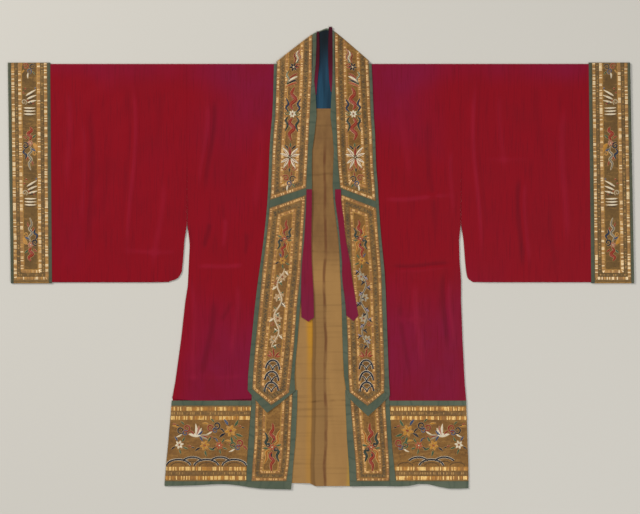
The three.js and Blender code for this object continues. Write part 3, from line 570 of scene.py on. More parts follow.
def silk_finish(name, warm, cool, deep):
    silk = Finish(name, Roughness=0.5, Specular_IOR_Level=0.08, Sheen_Weight=0.03, Sheen_Roughness=0.4,
                  Sheen_Tint=shade("b01a30"))
    place = silk.node("TexCoord", output="Object")
    x = silk.node("SeparateXYZ", {"Vector": place}, "X")
    y = Value(x.socket.node.outputs["Y"])
    out = x.maths("ABSOLUTE", x - CENTRE)
    drift = silk.noise(place, 3.2, (1, 0.7, 1), 3)
    skirt = (1 - silk.between(y, *UP["skirt"])) * (1 - silk.between(out, *OUT["body"]))
    by_collar = silk.between(y, *UP["collar"]) * (1 - silk.between(out, *OUT["collar"]))
    neck_shadow = silk.between(y, *UP["neck"]) * (1 - silk.between(out, *OUT["neck"]))
    by_fold = silk.between(y, *UP["shoulder"])
    mask = skirt * 0.75 + by_collar * 0.7 + by_fold * 0.45 + (drift - 0.5) * 1.3
    colour = silk.mix(silk.between(mask, 0.05, 0.85), shade(warm), shade(cool))
    streak = silk.noise(place, 9, (26, 1.1, 1), 4, 0.6)
    colour = silk.tone(colour, silk.between(streak, 0.46, 0.78), 0.55, deep)
    # Painted light and shade: the silk turns lighter along the ridges of its creases and darker in their
    # troughs, where pressing has also rubbed it.
    worn_and_shaded = silk.attribute("crease")
    colour = silk.tone(colour, silk.between(worn_and_shaded, 0.1, 1.0), 0.28, "a3203c")
    colour = silk.tone(colour, silk.between(0 - worn_and_shaded, 0.1, 1.0), 0.42, "540a18")
    clouded = silk.noise(place, 8, (1, 0.8, 1), 4, 0.65)
    colour = silk.tone(colour, silk.between(clouded, 0.42, 0.72), 0.4, "7a0c1a")
    # Painted shadow: the silk and the ribbon darken towards the top of the neck, inside the collar.
    colour = silk.tone(colour, neck_shadow, 0.75, "260d0e")
    weave = silk.noise(place, 420, (1, 0.35, 1), 2)
    slub = silk.noise(place, 60, (6, 0.6, 1), 2)
    bump = silk.bump(weave * 0.3 + slub * 0.7, 0.0006, 0.5)
    return silk.feed(Base_Color=colour, Roughness=0.42 + streak * 0.2, Normal=bump)


finishes = {
    "red_silk": silk_finish("crimson_silk", "860a1a", "7c1232", "640919"),
    "red_ribbon": silk_finish("crimson_ribbon", "7c1a34", "741c3a", "5c1228"),
}
print("silk and ribbon are", ", ".join(m.name for m in finishes.values()))

# %% [markdown]
# ## Gold ground
#
# The bands are covered with gold thread laid in close rows and held down by small stitches. A
# border of two bright lines runs inside the edge, with a duller stripe between them. Each vertex
# of a band knows its `rank`: 0 on the edge, 1 on the outer line, 2 on the inner line and 3 in the
# middle of the field, so one finish serves every band however its lines are spaced.

# %% The gold ground
CUFF_START = 790 * MM
GOLD_ROW = 1.3 * MM
LINE_REACH, LINE_SOFT = 0.13, 0.06


def beyond_the_cuff_seam(finish, place):
    """1 on the cuffs and their bindings, where the cloth is more olive, and 0 on the rest."""
    out = finish.node("SeparateXYZ", {"Vector": place}, "X") - CENTRE
    return finish.between(out.maths("ABSOLUTE", out), CUFF_START, CUFF_START + 1 * MM)


def gold_finish():
    gold = Finish("gold_ground", Roughness=0.55, Specular_IOR_Level=0.2)
    place = gold.node("TexCoord", output="Object")
    along = gold.node("SeparateXYZ", {"Vector": gold.node("UVMap", uv_map="cloth")}, "Y")
    rank = gold.attribute("rank")
    patches = gold.noise(place, 14, (1, 1, 1), 4, 0.6)
    grain = gold.noise(place, 170, (1, 1, 1), 3, 0.65)
    field = gold.mix(gold.between(patches, 0.3, 0.7), shade("775228"), shade("8f6733"))
    olive = gold.mix(gold.between(patches, 0.35, 0.65), shade("6c5230"), shade("846338"))
    stripe = gold.between(rank, 1.15, 1.3) * (1 - gold.between(rank, 1.7, 1.85))
    colour = gold.mix(stripe * 0.85, field, olive)
    colour = gold.tone(colour, beyond_the_cuff_seam(gold, place), 0.5, "54482a")
    lines = gold.near(rank, 1, LINE_REACH, LINE_SOFT) + gold.near(rank, 2, LINE_REACH, LINE_SOFT)
    colour = gold.tone(colour, lines, 0.8, "b98a48")
    colour = gold.tone(colour, 1 - gold.between(rank, 0.5, 0.8), 0.5, "8a6d42")
    ticks = gold.noise(place, 95, (0.35, 1.6, 1), 2, 0.5)
    colour = gold.tone(colour, gold.between(ticks, 0.5, 0.72), 0.3, "b98a4a")
    colour = gold.tone(colour, gold.between(grain, 0.45, 0.75), 0.55, "4a3420")
    rows = along.maths("SINE", along * (2 * math.pi / GOLD_ROW))
    metal = 0.08 + lines * 0.35 + gold.between(grain, 0.5, 0.2) * 0.15
    return gold.feed(Base_Color=colour, Metallic=metal, Normal=gold.bump(rows * 0.25 + grain, 0.0007, 0.6))


finishes["gold_band"] = gold_finish()
print("gold ground reads the attribute rank, in rows", round(GOLD_ROW / MM, 1), "mm apart")

# %% [markdown]
# ## Green binding, tan lining and blue facing
#
# The bindings are bias strips of grey-green silk, folded over an edge, which pucker every few
# centimetres, with painted shade in the puckers. The lining is old tan cotton: it is pieced across,
# stained yellow down one side and has a line of painted shade down the edge of a pleat. The facing
# behind the neck is indigo, with painted shade on its folds, and painted shadow makes it nearly
# black at the top.

# %% The plain cloths
# Places on the lining, in mm out from the centre seam and down from the shoulder fold
JOINS_DOWN = (183, 333, 561, 1010)
MIDDLE_STRIP = {"left": -16, "right": 18, "top": 640}
STAIN = {"left": -36, "right": -27, "top": 740, "faded": (800, 980)}
LOWER_HALF, YELLOW_CORNER = (500, 660), {"out": (74, 86), "down": (860, 980)}
# A line of painted shade down the edge of a pleat on the lining
PLEAT_SHADE_LINE = {"at": -22, "top": 640, "reach": 3.5, "soft": 6}
CENTRE_LINE = {"at": 14, "top": 200, "reach": 1.4, "soft": 5}


def binding_finish():
    green = Finish("green_binding_silk", Roughness=0.55, Specular_IOR_Level=0.35, Sheen_Weight=0.2,
                   Sheen_Roughness=0.5, Sheen_Tint=shade("7c8674"))
    place = green.node("TexCoord", output="Object")
    drift = green.noise(place, 9, (1, 1, 1), 3)
    fine = green.noise(place, 130, (1, 1, 1), 3)
    colour = green.mix(green.between(drift, 0.3, 0.7), shade("444f3d"), shade("545d4a"))
    colour = green.tone(colour, beyond_the_cuff_seam(green, place), 0.5, "433d26")
    # Painted shade: the binding is darker in its puckers.
    colour = green.tone(colour, green.attribute("pucker"), 0.7, "2c3f31")
    colour = green.tone(colour, green.between(fine, 0.5, 0.8), 0.35, "3a4a3c")
    return green.feed(Base_Color=colour, Normal=green.bump(fine, 0.0005, 0.5))


def lining_finish():
    tan = Finish("tan_cotton", Roughness=0.9, Specular_IOR_Level=0.2)
    place = tan.node("TexCoord", output="Object")
    x = tan.node("SeparateXYZ", {"Vector": place}, "X")
    y = Value(x.socket.node.outputs["Y"])
    wander = tan.noise(place, 9, (1, 0.6, 1), 3) - 0.5
    out = (x - CENTRE) * (1 / MM) + wander * 22
    down = (SHOULDER - y) * (1 / MM)
    blotches = tan.noise(place, 13, (1, 0.45, 1), 4, 0.65)
    colour = tan.mix(tan.between(blotches, 0.3, 0.72), shade("765533"), shade("8e6a3e"))
    colour = tan.tone(colour, tan.between(down, *LOWER_HALF), 0.65, "ab824c")
    strip = tan.window(out, MIDDLE_STRIP["left"], MIDDLE_STRIP["right"], 6, 4)
    strip = strip * tan.between(down, MIDDLE_STRIP["top"], MIDDLE_STRIP["top"] + 80)
    colour = tan.tone(colour, strip, 0.55, "80603a")
    stain = tan.window(out, STAIN["left"], STAIN["right"], 14, 3)
    stain = stain * tan.between(down, STAIN["top"], STAIN["top"] + 30)
    colour = tan.tone(colour, stain, 0.9 - tan.between(down, *STAIN["faded"]) * 0.6, "b98222")
    corner = tan.between(out, *YELLOW_CORNER["out"]) * tan.between(down, *YELLOW_CORNER["down"])
    colour = tan.tone(colour, corner, 0.6, "b08a35")
    marks = sum(tan.near(down + wander * 30, join_down, 1, 4) for join_down in JOINS_DOWN)
    marks = marks * tan.between(tan.noise(place, 26, (1, 1, 1), 2), 0.3, 0.7) * 0.7

    def upright(line):
        from_top = tan.between(down, line["top"], line["top"] + 60)
        return tan.near(out, line["at"], line["reach"], line["soft"]) * from_top

    # The dark joins of the pieces, and the painted shade down the pleat, share one brown.
    colour = tan.tone(colour, marks + upright(PLEAT_SHADE_LINE), 0.5, "4f3319")
    broken = tan.between(tan.noise(place, 16, (1, 1, 1), 3), 0.35, 0.6)
    colour = tan.tone(colour, upright(CENTRE_LINE), 0.25 + broken * 0.4, "5a2c1c")
    rows = tan.noise(place, 40, (0.12, 2.4, 1), 3)
    colour = tan.tone(colour, tan.between(rows, 0.5, 0.8), 0.3, "5e4426")
    fine = tan.noise(place, 260, (1, 1, 1), 3)
    return tan.feed(Base_Color=colour, Normal=tan.bump(fine, 0.0006, 0.5))


def facing_finish():
    blue = Finish("indigo_cotton", Roughness=0.85, Specular_IOR_Level=0.25)
    place = blue.node("TexCoord", output="Object")
    y = blue.node("SeparateXYZ", {"Vector": place}, "Y")
    # Painted shade: upright bands of darker and lighter indigo stand for the light and shade on soft folds.
    folds = blue.noise(place, 30, (1.6, 0.12, 1), 3)
    colour = blue.mix(blue.between(folds, 0.3, 0.75), shade("0f2c3e"), shade("23506a"))
    # Painted shadow: the facing turns nearly black towards the top, inside the collar.
    colour = blue.tone(colour, blue.between(y, SHOULDER - 50 * MM, SHOULDER + 80 * MM), 0.9, "060d10")
    fine = blue.noise(place, 260, (1, 1, 1), 3)
    return blue.feed(Base_Color=colour, Normal=blue.bump(fine, 0.0005, 0.5))


finishes["green_binding"] = binding_finish()
finishes["tan_lining"] = lining_finish()
finishes["blue_facing"] = facing_finish()
print("finishes:", ", ".join(finishes))

# %% [markdown]
# ## Where the bright lines run
#
# The lines keep their distance from an edge, so they are the band's outline moved inwards. On some
# bands they don't turn at every edge: a cuff's run over the fold at the top, and a hem's run
# straight from side to side. There the guide line is stretched past that edge before it is moved.

# %% The guide of each band
BANDS = {
    # how far in the outer and inner line lie, how wide they are, and what is stretched, in mm
    "cuff": {"lines": (6, 26), "wide": 9.0, "stretch": {"top": 60, "bottom": -7}},
    "collar_upper": {"lines": (5.5, 30), "wide": 6.5, "stretch": {"top": 70}},
    "collar_lower": {"lines": (5.5, 31), "wide": 6.5, "stretch": {}},
    "foot_panel": {"lines": (5, 27), "wide": 6.0, "stretch": {}},
    "hem_front": {"lines": (9.5, 37), "wide": 12.0, "stretch": {"left": 60, "right": 60}},
    "hem_back": {"lines": (9.5, 37), "wide": 12.0, "stretch": {"left": 60, "right": 60}},
    "collar_neck": {"lines": (6, 30), "wide": 6.5, "stretch": {"left": 60, "right": 60}},
}
PARTS_OF_A_SIDE = {"top": ("left", "right", 0), "bottom": ("left", "right", -1),
                   "left": ("top", "bottom", 0), "right": ("top", "bottom", -1)}
FAR_RANK = 70 * MM
HARDLY_TURNS = math.radians(1.2)
LEAST_CORNER = 0.2


def by_name(table, node, otherwise=None):
    """The entry of a table whose key a node's name starts with."""
    return next((entry for name, entry in table.items() if node.startswith(name)), otherwise)


def band_of(node):
    return by_name(BANDS, node)


def simple(loop):
    """A closed line without the points that hardly turn it."""
    kept = loop
    while True:
        closed = np.vstack([kept[-1:], kept, kept[:1]])
        bends = turns(closed)
        least = int(np.argmin(bends))
        if bends[least] > HARDLY_TURNS or len(kept) <= 4:
            return kept
        kept = np.delete(kept, least, axis=0)


def guide(node):
    """The closed line that a band's bright lines keep their distance from."""
    edges = {name: line.copy() for name, line in sides(node).items()}
    for side, reach in band_of(node)["stretch"].items():
        first, second, end = PARTS_OF_A_SIDE[side]
        step = 1 if end == 0 else -2
        ends = []
        for name in (first, second):
            line = edges[name]
            heading = line[end] - line[step]
            line[end] += heading / np.linalg.norm(heading) * reach * MM
            ends.append(line[end])
        edges[side] = np.array(ends)
    round_the_band = (edges["left"], edges["bottom"], edges["right"][::-1], edges["top"][::-1])
    return simple(np.vstack([line[:-1] for line in round_the_band]))


def moved_in(loop, distance):
    """A closed line moved inwards, with its corners kept sharp."""
    along = np.roll(loop, -1, axis=0) - loop
    along /= np.linalg.norm(along, axis=1, keepdims=True)
    inward = np.stack([-along[:, 1], along[:, 0]], axis=1)
    bisector = inward + np.roll(inward, 1, axis=0)
    share = distance / np.maximum((bisector * inward).sum(1), LEAST_CORNER)
    return loop + bisector * share[:, None]


def inside(loop, points):
    """Which points lie inside a closed line: one to their right crosses it an odd number of times."""
    x, y = points[:, 0], points[:, 1]
    found = np.zeros(len(points), bool)
    for (x0, y0), (x1, y1) in zip(loop, np.roll(loop, -1, axis=0)):
        crosses = (y0 > y) != (y1 > y)
        if y1 != y0:
            found ^= crosses & (x < x0 + (y - y0) / (y1 - y0) * (x1 - x0))
    return found


guides = {node: guide(node) for node in slot_of if band_of(node) and slot_of[node] == "gold_band"}
print({node: len(line) for node, line in guides.items()})

# %% [markdown]
# ## Making the panels
#
# Most panels are one flat grid. A sleeve or cuff is a tube pressed flat: its rows go down the
# front, round the lower fold, up the back and round the top. A body half goes up the back, over
# the shoulder and down the front in one length, and the upper collar turns over at its slanting
# top. Bindings are fuller along their middle, with puckers drawn from a fixed seed.

# %% Grids of the three kinds
SPACING = {"red_silk": 6.0, "red_ribbon": 4.0, "gold_band": 4.5, "green_binding": 3.0,
           "tan_lining": 5.0, "blue_facing": 5.0}
BACK_SPACING = 12.0
FOLD_STEPS = 6
LOOSE_BACK = (150, 190)
BACK_EDGE_FADE = (10, 45)
BACK_RISE = 0.7
NECK_DEPTH, NECK_ROWS = 45, 10
LEVEL_EDGE = 1e-9


def half_turn(turn):
    """How much of its drop a fold has made after a share of its turn."""
    return (1 - np.cos(math.pi * turn)) / 2


def reach_at(loop, y):
    """Where an outline starts and ends from left to right, at one y."""
    low, high = loop[:, 1].min() + GRAIN, loop[:, 1].max() - GRAIN
    y = min(max(y, low), high)
    following = np.roll(loop, -1, axis=0)
    crosses = (loop[:, 1] - y) * (following[:, 1] - y) <= 0
    start, end = loop[crosses], following[crosses]
    rise = end[:, 1] - start[:, 1]
    level = np.abs(rise) < LEVEL_EDGE
    share = np.where(level, 0, (y - start[:, 1]) / np.where(level, 1, rise))
    x = start[:, 0] + share * (end[:, 0] - start[:, 0])
    return x.min(), x.max()


def slices(loop, ys, wide):
    """Rows of evenly spaced points across an outline, one for each y."""
    return np.array([[(x, y) for x in np.linspace(*reach_at(loop, y), wide + 1)] for y in ys])


def back_heights(node, points, base):
    """The back layer lies on the table, but for soft rises where the cloth isn't pressed down."""
    out = np.abs(points[..., 0] - CENTRE) / MM
    loose = smoothstep(out, *LOOSE_BACK)
    inner = smoothstep(distance_to(layers[node]["loop"], points) / MM, *BACK_EDGE_FADE)
    rise = np.clip(crease_height(node, points) + swell(node, points), 0, BACK_RISE * MM)
    return base + loose * inner * rise


def turned(edge, heights, base, away, turns_of_fold):
    """Rows of points round a fold, from the front layer's edge towards the back layer."""
    rows = []
    for turn in turns_of_fold:
        radius = (heights - base) / 2
        reach = radius * math.sin(math.pi * turn)
        place = edge + away * reach[:, None]
        rows.append(np.column_stack([place, heights + (base - heights) * half_turn(turn)]))
    return np.array(rows)


def tube_grid(node, spacing):
    """A tube pressed flat, as a ring of rows."""
    face, (low, high) = layers[node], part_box(node)
    base = low.z + face["thick"] / 2
    radius = (face["middle"] - base) / 2
    top, bottom = high.y - face["thick"] / 2 - radius, low.y + face["thick"] / 2 + radius
    wide = max(4, round((high.x - low.x) / spacing / MM))
    tall = round((top - bottom) / spacing / MM)
    front = slices(face["loop"], np.linspace(top, bottom, tall + 1), wide)
    back_rows = round((top - bottom) / BACK_SPACING / MM)
    back = slices(face["loop"], np.linspace(bottom, top, back_rows + 1), wide)
    heights = front_heights(node, front)
    fold = np.linspace(0, 1, FOLD_STEPS + 1)[1:-1]
    up, down = np.array([0.0, 1.0]), np.array([0.0, -1.0])
    return np.concatenate([
        np.dstack([front, heights]),
        turned(front[-1], heights[-1], base, down, fold),
        np.dstack([back, back_heights(node, back, base)]),
        turned(front[0], heights[0], base, up, fold[::-1]),
    ])


def body_grid(node, spacing):
    """One length of silk, up the back, over the shoulder and down the front."""
    face, under, (low, high) = layers[node], layer(node, back=True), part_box(node)
    base = under["middle"]
    radius = (face["middle"] - base) / 2
    shoulder = high.y - face["thick"] / 2 - radius
    wide = round((high.x - low.x) / spacing / MM)
    tall = round((shoulder - low.y) / spacing / MM)
    neck = np.linspace(shoulder, shoulder - NECK_DEPTH * MM, NECK_ROWS)
    rest = np.linspace(neck[-1], low.y, round((neck[-1] - low.y) / BACK_SPACING / MM) + 1)[1:]
    back = slices(under["loop"], np.concatenate([neck, rest])[::-1], wide)
    front = slices(face["loop"], np.linspace(shoulder, low.y, tall + 1), wide)
    heights = front_heights(node, front)
    fold = np.linspace(0, 1, FOLD_STEPS + 1)[1:-1][::-1]
    return np.concatenate([
        np.dstack([back, back_heights(node, back, base)]),
        turned(front[0], heights[0], base, np.array([0.0, 1.0]), fold),
        np.dstack([front, heights]),
    ])


def flat_grid(node, spacing):
    flat = blended(sides(node), spacing * MM)
    return np.dstack([flat, front_heights(node, flat)])


def folded_grid(node, spacing):
    """A collar strip whose slanting top turns over to the back."""
    front = flat_grid(node, spacing)
    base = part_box(node)[0].z + layers[node]["thick"] / 2
    edge = front[0, :, :2]
    along = edge[-1] - edge[0]
    away = np.array([-along[1], along[0]]) / np.linalg.norm(along)
    fold = np.linspace(0, 1, FOLD_STEPS + 1)[1:][::-1]
    return np.concatenate([turned(edge, front[0, :, 2], base, away, fold), front])


def is_folded_collar(node):
    return node.startswith("collar_upper") and "outer" not in node


def grid_of(node):
    spacing = SPACING[slot_of[node]]
    if node.startswith(("sleeve", "cuff")):
        return tube_grid(node, spacing)
    if node.startswith("body"):
        return body_grid(node, spacing)
    return folded_grid(node, spacing) if is_folded_collar(node) else flat_grid(node, spacing)


print("grid steps in mm:", SPACING)

# %% Puckers and rounded edges of the bindings
PUCKER_GAPS = (16, 46)
PUCKER_WIDTH = 2.6
PUCKER_LEAN, PUCKER_SIZES = (-0.5, 0.5), (0.3, 1.0)
PUCKER_DEPTH = 0.27
EDGE_SHARE = 0.45


def puckers(node, along, across):
    """1 in the middle of each cross wrinkle of a binding, and 0 between them."""
    draw = np.random.default_rng(len(node) + sum(map(ord, node)))
    total = np.zeros(along.shape)
    at = draw.uniform(*PUCKER_GAPS)
    while at < along.max() / MM:
        lean, size = draw.uniform(*PUCKER_LEAN), draw.uniform(*PUCKER_SIZES)
        gap = along / MM + lean * across / MM - at
        total = np.maximum(total, size * np.exp(-((gap / PUCKER_WIDTH) ** 2)))
        at += draw.uniform(*PUCKER_GAPS)
    return total


def rounded(thick, share):
    """The thickness of a strip that is fuller in its middle, at shares across it from 0 to 1."""
    full = 1 - np.abs(2 * share - 1) ** 3
    return thick * (EDGE_SHARE + (1 - EDGE_SHARE) * np.sqrt(np.clip(full, 0, 1)))


def bound(node, grid):
    """A binding's thickness at each point, and its puckers."""
    rows, columns = grid.shape[:2]
    across_columns = length_of(grid[rows // 2]) < length_of(grid[:, columns // 2])
    far, near = steps_along(grid, 1), steps_along(grid, 0)
    along, across = (near, far) if across_columns else (far, near)
    share = across / np.maximum(across.max(axis=1 if across_columns else 0, keepdims=True), TINY)
    if node.startswith(FOLDED) and not across_columns:
        share = np.full_like(share, 0.5)
    folds = puckers(node, along, across)
    return rounded(layers[node]["thick"], share) - folds * PUCKER_DEPTH * MM, folds


print("a binding puckers every", PUCKER_GAPS[0], "to", PUCKER_GAPS[1], "mm")

# %% [markdown]
# ## Laying the panels out
#
# Each panel is made and given its finish, and then attached to the body it rides on, and the solid
# it stands for is hidden. A sleeve and the parts of a cuff are closed all round, and the rest are
# flat or folded.

# %% Make every panel
pieces, grids = {}, {}
for node, slot in slot_of.items():
    grid = grid_of(node)
    closed = node.startswith(("sleeve", "cuff"))
    thick = layers[node]["thick"]
    folds = None
    if slot == "green_binding":
        thick, folds = bound(node, grid)
    points, faces = shell(grid, thick, closed)
    piece = add_mesh(node + "_cloth", points, faces, finishes[slot])
    uv = np.dstack([steps_along(grid, 1), -steps_along(grid, 0)]).reshape(-1, 2)
    add_uv(piece, np.vstack([uv, uv]))
    if folds is not None:
        add_values(piece, "pucker", np.tile(folds.ravel(), 2))
    if slot == "red_silk":
        add_values(piece, "crease", np.tile(crease_height(node, grid[..., :2]).ravel() / MM, 2))
    if node in guides:
        outer, inner = (distance * MM for distance in band_of(node)["lines"])
        depth = distance_to(guides[node], grid[..., :2])
        rank = np.interp(depth, [0, outer, inner, FAR_RANK], [0, 1, 2, 3])
        add_values(piece, "rank", np.tile(rank.ravel(), 2))
    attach(piece, "root")
    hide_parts(node)
    pieces[node], grids[node] = piece, grid

counts = {node: 2 * len(piece.data.polygons) for node, piece in pieces.items()}
print(len(pieces), "panels,", sum(counts.values()), "triangles, most in", max(counts, key=counts.get))

# %% [markdown]
# ## Laying thread on the bands
#
# Gold thread is too stiff to be sewn through cloth. It is laid on top in close rows and caught down
# every few millimetres, so each bright line is a row of short raised bricks. The rows repeat, so one
# Geometry Nodes tree makes them all. It walks along a drawn path, and sets a small tapered block
# at each step, turned along the path, with a random brightness that the finish reads as `tint`.

# %% One tree for all laid and stitched rows
TREE_INPUTS = {"Pitch": "Float", "Length": "Float", "Width": "Float", "Height": "Float",
               "Slant": "Float", "Seed": "Int", "Material": "Material"}
TOP_SHARE = 0.62
SWAY = 0.06
LEAST_SIZE, MOST_SIZE = 0.82, 1.08


class Steps:
    """A Geometry Nodes tree and a short way to add its nodes."""

    def __init__(self, name, inputs):
        self.tree = bpy.data.node_groups.new(name, "GeometryNodeTree")
        face = self.tree.interface
        face.new_socket("Geometry", in_out="INPUT", socket_type="NodeSocketGeometry")
        self.keys = {
            key: face.new_socket(key, in_out="INPUT", socket_type="NodeSocket" + kind).identifier
            for key, kind in inputs.items()
        }
        face.new_socket("Geometry", in_out="OUTPUT", socket_type="NodeSocketGeometry")
        self.given = self.tree.nodes.new("NodeGroupInput")

    def value(self, key):
        return Value(self.given.outputs[key])

    def node(self, kind, sockets=None, output=0, **settings):
        made = self.tree.nodes.new(kind)
        for key, value in settings.items():
            setattr(made, key, value)
        for key, term in (sockets or {}).items():
            join(pick(made.inputs, key), term)
        return Value(pick(made.outputs, output))

    def finish(self, geometry):
        join(self.tree.nodes.new("NodeGroupOutput").inputs[0], geometry)


def laid_rows():
    steps = Steps("lay_thread_along_a_path", TREE_INPUTS)
    path = steps.node("GeometryNodeMeshToCurve", {"Mesh": steps.value("Geometry")})
    pitch = {"Curve": path, "Length": steps.value("Pitch")}
    spots = steps.node("GeometryNodeResampleCurve", pitch, mode="LENGTH")
    half_diagonal = math.sqrt(0.5)
    cone = {"Vertices": 4, "Side Segments": 1, "Fill Segments": 1, "Depth": 1.0,
            "Radius Top": half_diagonal * TOP_SHARE, "Radius Bottom": half_diagonal}
    block = steps.node("GeometryNodeMeshCone", cone)
    block = steps.node("GeometryNodeTransform", {"Geometry": block, "Rotation": (0, 0, math.pi / 4)})
    tangent = steps.node("GeometryNodeInputTangent")
    turn = steps.node("FunctionNodeAlignRotationToVector", {"Vector": tangent}, axis="X", pivot_axis="Z")
    index = steps.node("GeometryNodeInputIndex")
    swing = steps.value("Slant") * (1 - 2 * index.maths("MODULO", index, 2.0))
    seed = steps.value("Seed")
    sway = steps.node("FunctionNodeRandomValue", {2: -SWAY, 3: SWAY, "Seed": seed}, 1)
    lean = steps.node("ShaderNodeCombineXYZ", {"Z": swing + sway})
    lean = steps.node("FunctionNodeEulerToRotation", {"Euler": lean})
    both = {"Rotation": turn, "Rotate By": lean}
    turn = steps.node("FunctionNodeRotateRotation", both, rotation_space="LOCAL")
    uneven = steps.node("FunctionNodeRandomValue", {2: LEAST_SIZE, 3: MOST_SIZE, "Seed": seed + 1}, 1)
    long, tall = steps.value("Length") * uneven, steps.value("Height") * uneven
    size = steps.node("ShaderNodeCombineXYZ", {"X": long, "Y": steps.value("Width"), "Z": tall})
    laid = steps.node("GeometryNodeInstanceOnPoints",
                      {"Points": spots, "Instance": block, "Rotation": turn, "Scale": size})
    tint = steps.node("FunctionNodeRandomValue", {2: 0.0, 3: 1.0, "Seed": seed + 2}, 1)
    laid = steps.node("GeometryNodeStoreNamedAttribute", {"Geometry": laid, "Name": "tint", "Value": tint},
                      data_type="FLOAT", domain="INSTANCE")
    laid = steps.node("GeometryNodeRealizeInstances", {"Geometry": laid})
    finished = {"Geometry": laid, "Material": steps.value("Material")}
    steps.finish(steps.node("GeometryNodeSetMaterial", finished))
    return steps


rows_tree = laid_rows()
print("inputs of the tree:", ", ".join(rows_tree.keys))

# %% Paths on the dressed cloth
ABOVE_ALL = 50 * MM
PATH_STEP = 2 * MM
FEWEST_POINTS = 4
tops = {}


def top_of(node):
    """The search tree of a dressed panel, made when it is first asked for."""
    if node not in tops:
        mesh = pieces[node].data
        tops[node] = BVHTree.FromPolygons([v.co for v in mesh.vertices], [p.vertices for p in mesh.polygons])
    return tops[node]


def laid_on(node, places, lift=0.0):
    """Places seen from above, with the height of the cloth's top there, where there is cloth."""
    found = []
    for x, y in places:
        hit = top_of(node).ray_cast(Vector((x, y, ABOVE_ALL)), Vector((0, 0, -1)))[0]
        if hit is not None:
            found.append((x, y, hit.z + lift))
    return np.array(found).reshape(-1, 3)


def pieces_inside(node, line, margin):
    """The stretches of a closed line that keep a margin inside a band."""
    loop = layers[node]["loop"]
    count = max(2 * FEWEST_POINTS, round(length_of(line) / PATH_STEP))
    fine = spread(np.vstack([line, line[:1]]), count)
    kept = inside(loop, fine) & (distance_to(loop, fine) > margin)
    if kept.all():
        return [fine]
    start = int(np.argmin(kept))
    fine, kept = np.roll(fine, -start, axis=0), np.roll(kept, -start)
    edges = np.flatnonzero(np.diff(np.concatenate([[0], kept.astype(int), [0]])))
    return [fine[a:b] for a, b in edges.reshape(-1, 2) if b - a > FEWEST_POINTS]


def paths_on(node, line, margin, sunk):
    """The stretches of a closed line inside a band, on its cloth or a little way into it."""
    found = [laid_on(node, part, -sunk) for part in pieces_inside(node, line, margin)]
    return [path for path in found if len(path) > FEWEST_POINTS]


def laid_row(name, paths, slot, finish, seed, **sizes):
    """Rows of blocks along some paths of points in space, as one plain mesh."""
    points = np.vstack(paths)
    starts = np.cumsum([0] + [len(path) for path in paths[:-1]])
    edges = [(s + i, s + i + 1) for s, path in zip(starts, paths) for i in range(len(path) - 1)]
    mesh = bpy.data.meshes.new(name)
    mesh.from_pydata(points.tolist(), edges, [])
    made = bpy.data.objects.new(name, mesh)
    bpy.context.scene.collection.objects.link(made)
    modifier = made.modifiers.new("laid", "NODES")
    modifier.node_group = rows_tree.tree
    for key, value in sizes.items():
        modifier[rows_tree.keys[key]] = value
    modifier[rows_tree.keys["Seed"]] = seed
    modifier[rows_tree.keys["Material"]] = finish
    graph = bpy.context.evaluated_depsgraph_get()
    made.data = bpy.data.meshes.new_from_object(made.evaluated_get(graph))
    made.modifiers.clear()
    made.data.name = name
    made.data.shade_flat()
    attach(made, "root")
    return made


print("a path follows the top of the cloth, not of its solid")

# %% [markdown]
# ## The couched borders
#
# Each border line is gold thread laid to and fro across the line, so it reads as a ladder of short
# bars. Real gold thread is a thin foil wound round silk. The finish paints glints on it: patches a
# few centimetres wide and single bars turn brighter, towards a painted highlight of near-white
# gold, and the rest stays a dull, rubbed gold. Duller bars, on the collar slanting to and fro, fill
# the stripe between the two lines.

# %% Bright and dull thread
BAR = {"Pitch": 3.8 * MM, "Length": 3.3 * MM, "Height": 0.6 * MM, "Slant": 0.0}
FINE_BAR = {"Pitch": 3.2 * MM, "Length": 2.7 * MM, "Height": 0.5 * MM, "Slant": 0.12}
STRIPE = {"Pitch": 4.8 * MM, "Length": 2.4 * MM, "Height": 0.35 * MM}
STRIPE_SLANT = {"collar": 0.5, "foot": 0.35}
STRIPE_FILL = 0.5
EDGE_MARGIN = 1.2 * MM
BAR_SUNK = 0.1 * MM
STRIPE_SEEDS = 50
CORNERS_OF_A_BAR = 8


def thread_finish(name, worn_and_shaded, fair, glinting, metal=0.05):
    thread = Finish(name, Roughness=0.4)
    place = thread.node("TexCoord", output="Object")
    glint_patches = thread.noise(place, 22, (1, 1, 1), 3, 0.6)
    # Painted highlight: patches a few centimetres wide and single bars glint towards a near-white gold, and
    # the rest stays a dull, rubbed gold.
    glint = thread.between(thread.attribute("tint") * 0.85 + glint_patches * 1.3, 0.7, 1.45)
    colour = thread.mix(glint, shade(worn_and_shaded), shade(fair))
    colour = thread.tone(colour, thread.between(glint, 0.55, 0.95), 0.85, glinting)
    return thread.feed(Base_Color=colour, Metallic=metal + glint * 0.2, Roughness=0.55 - glint * 0.2)


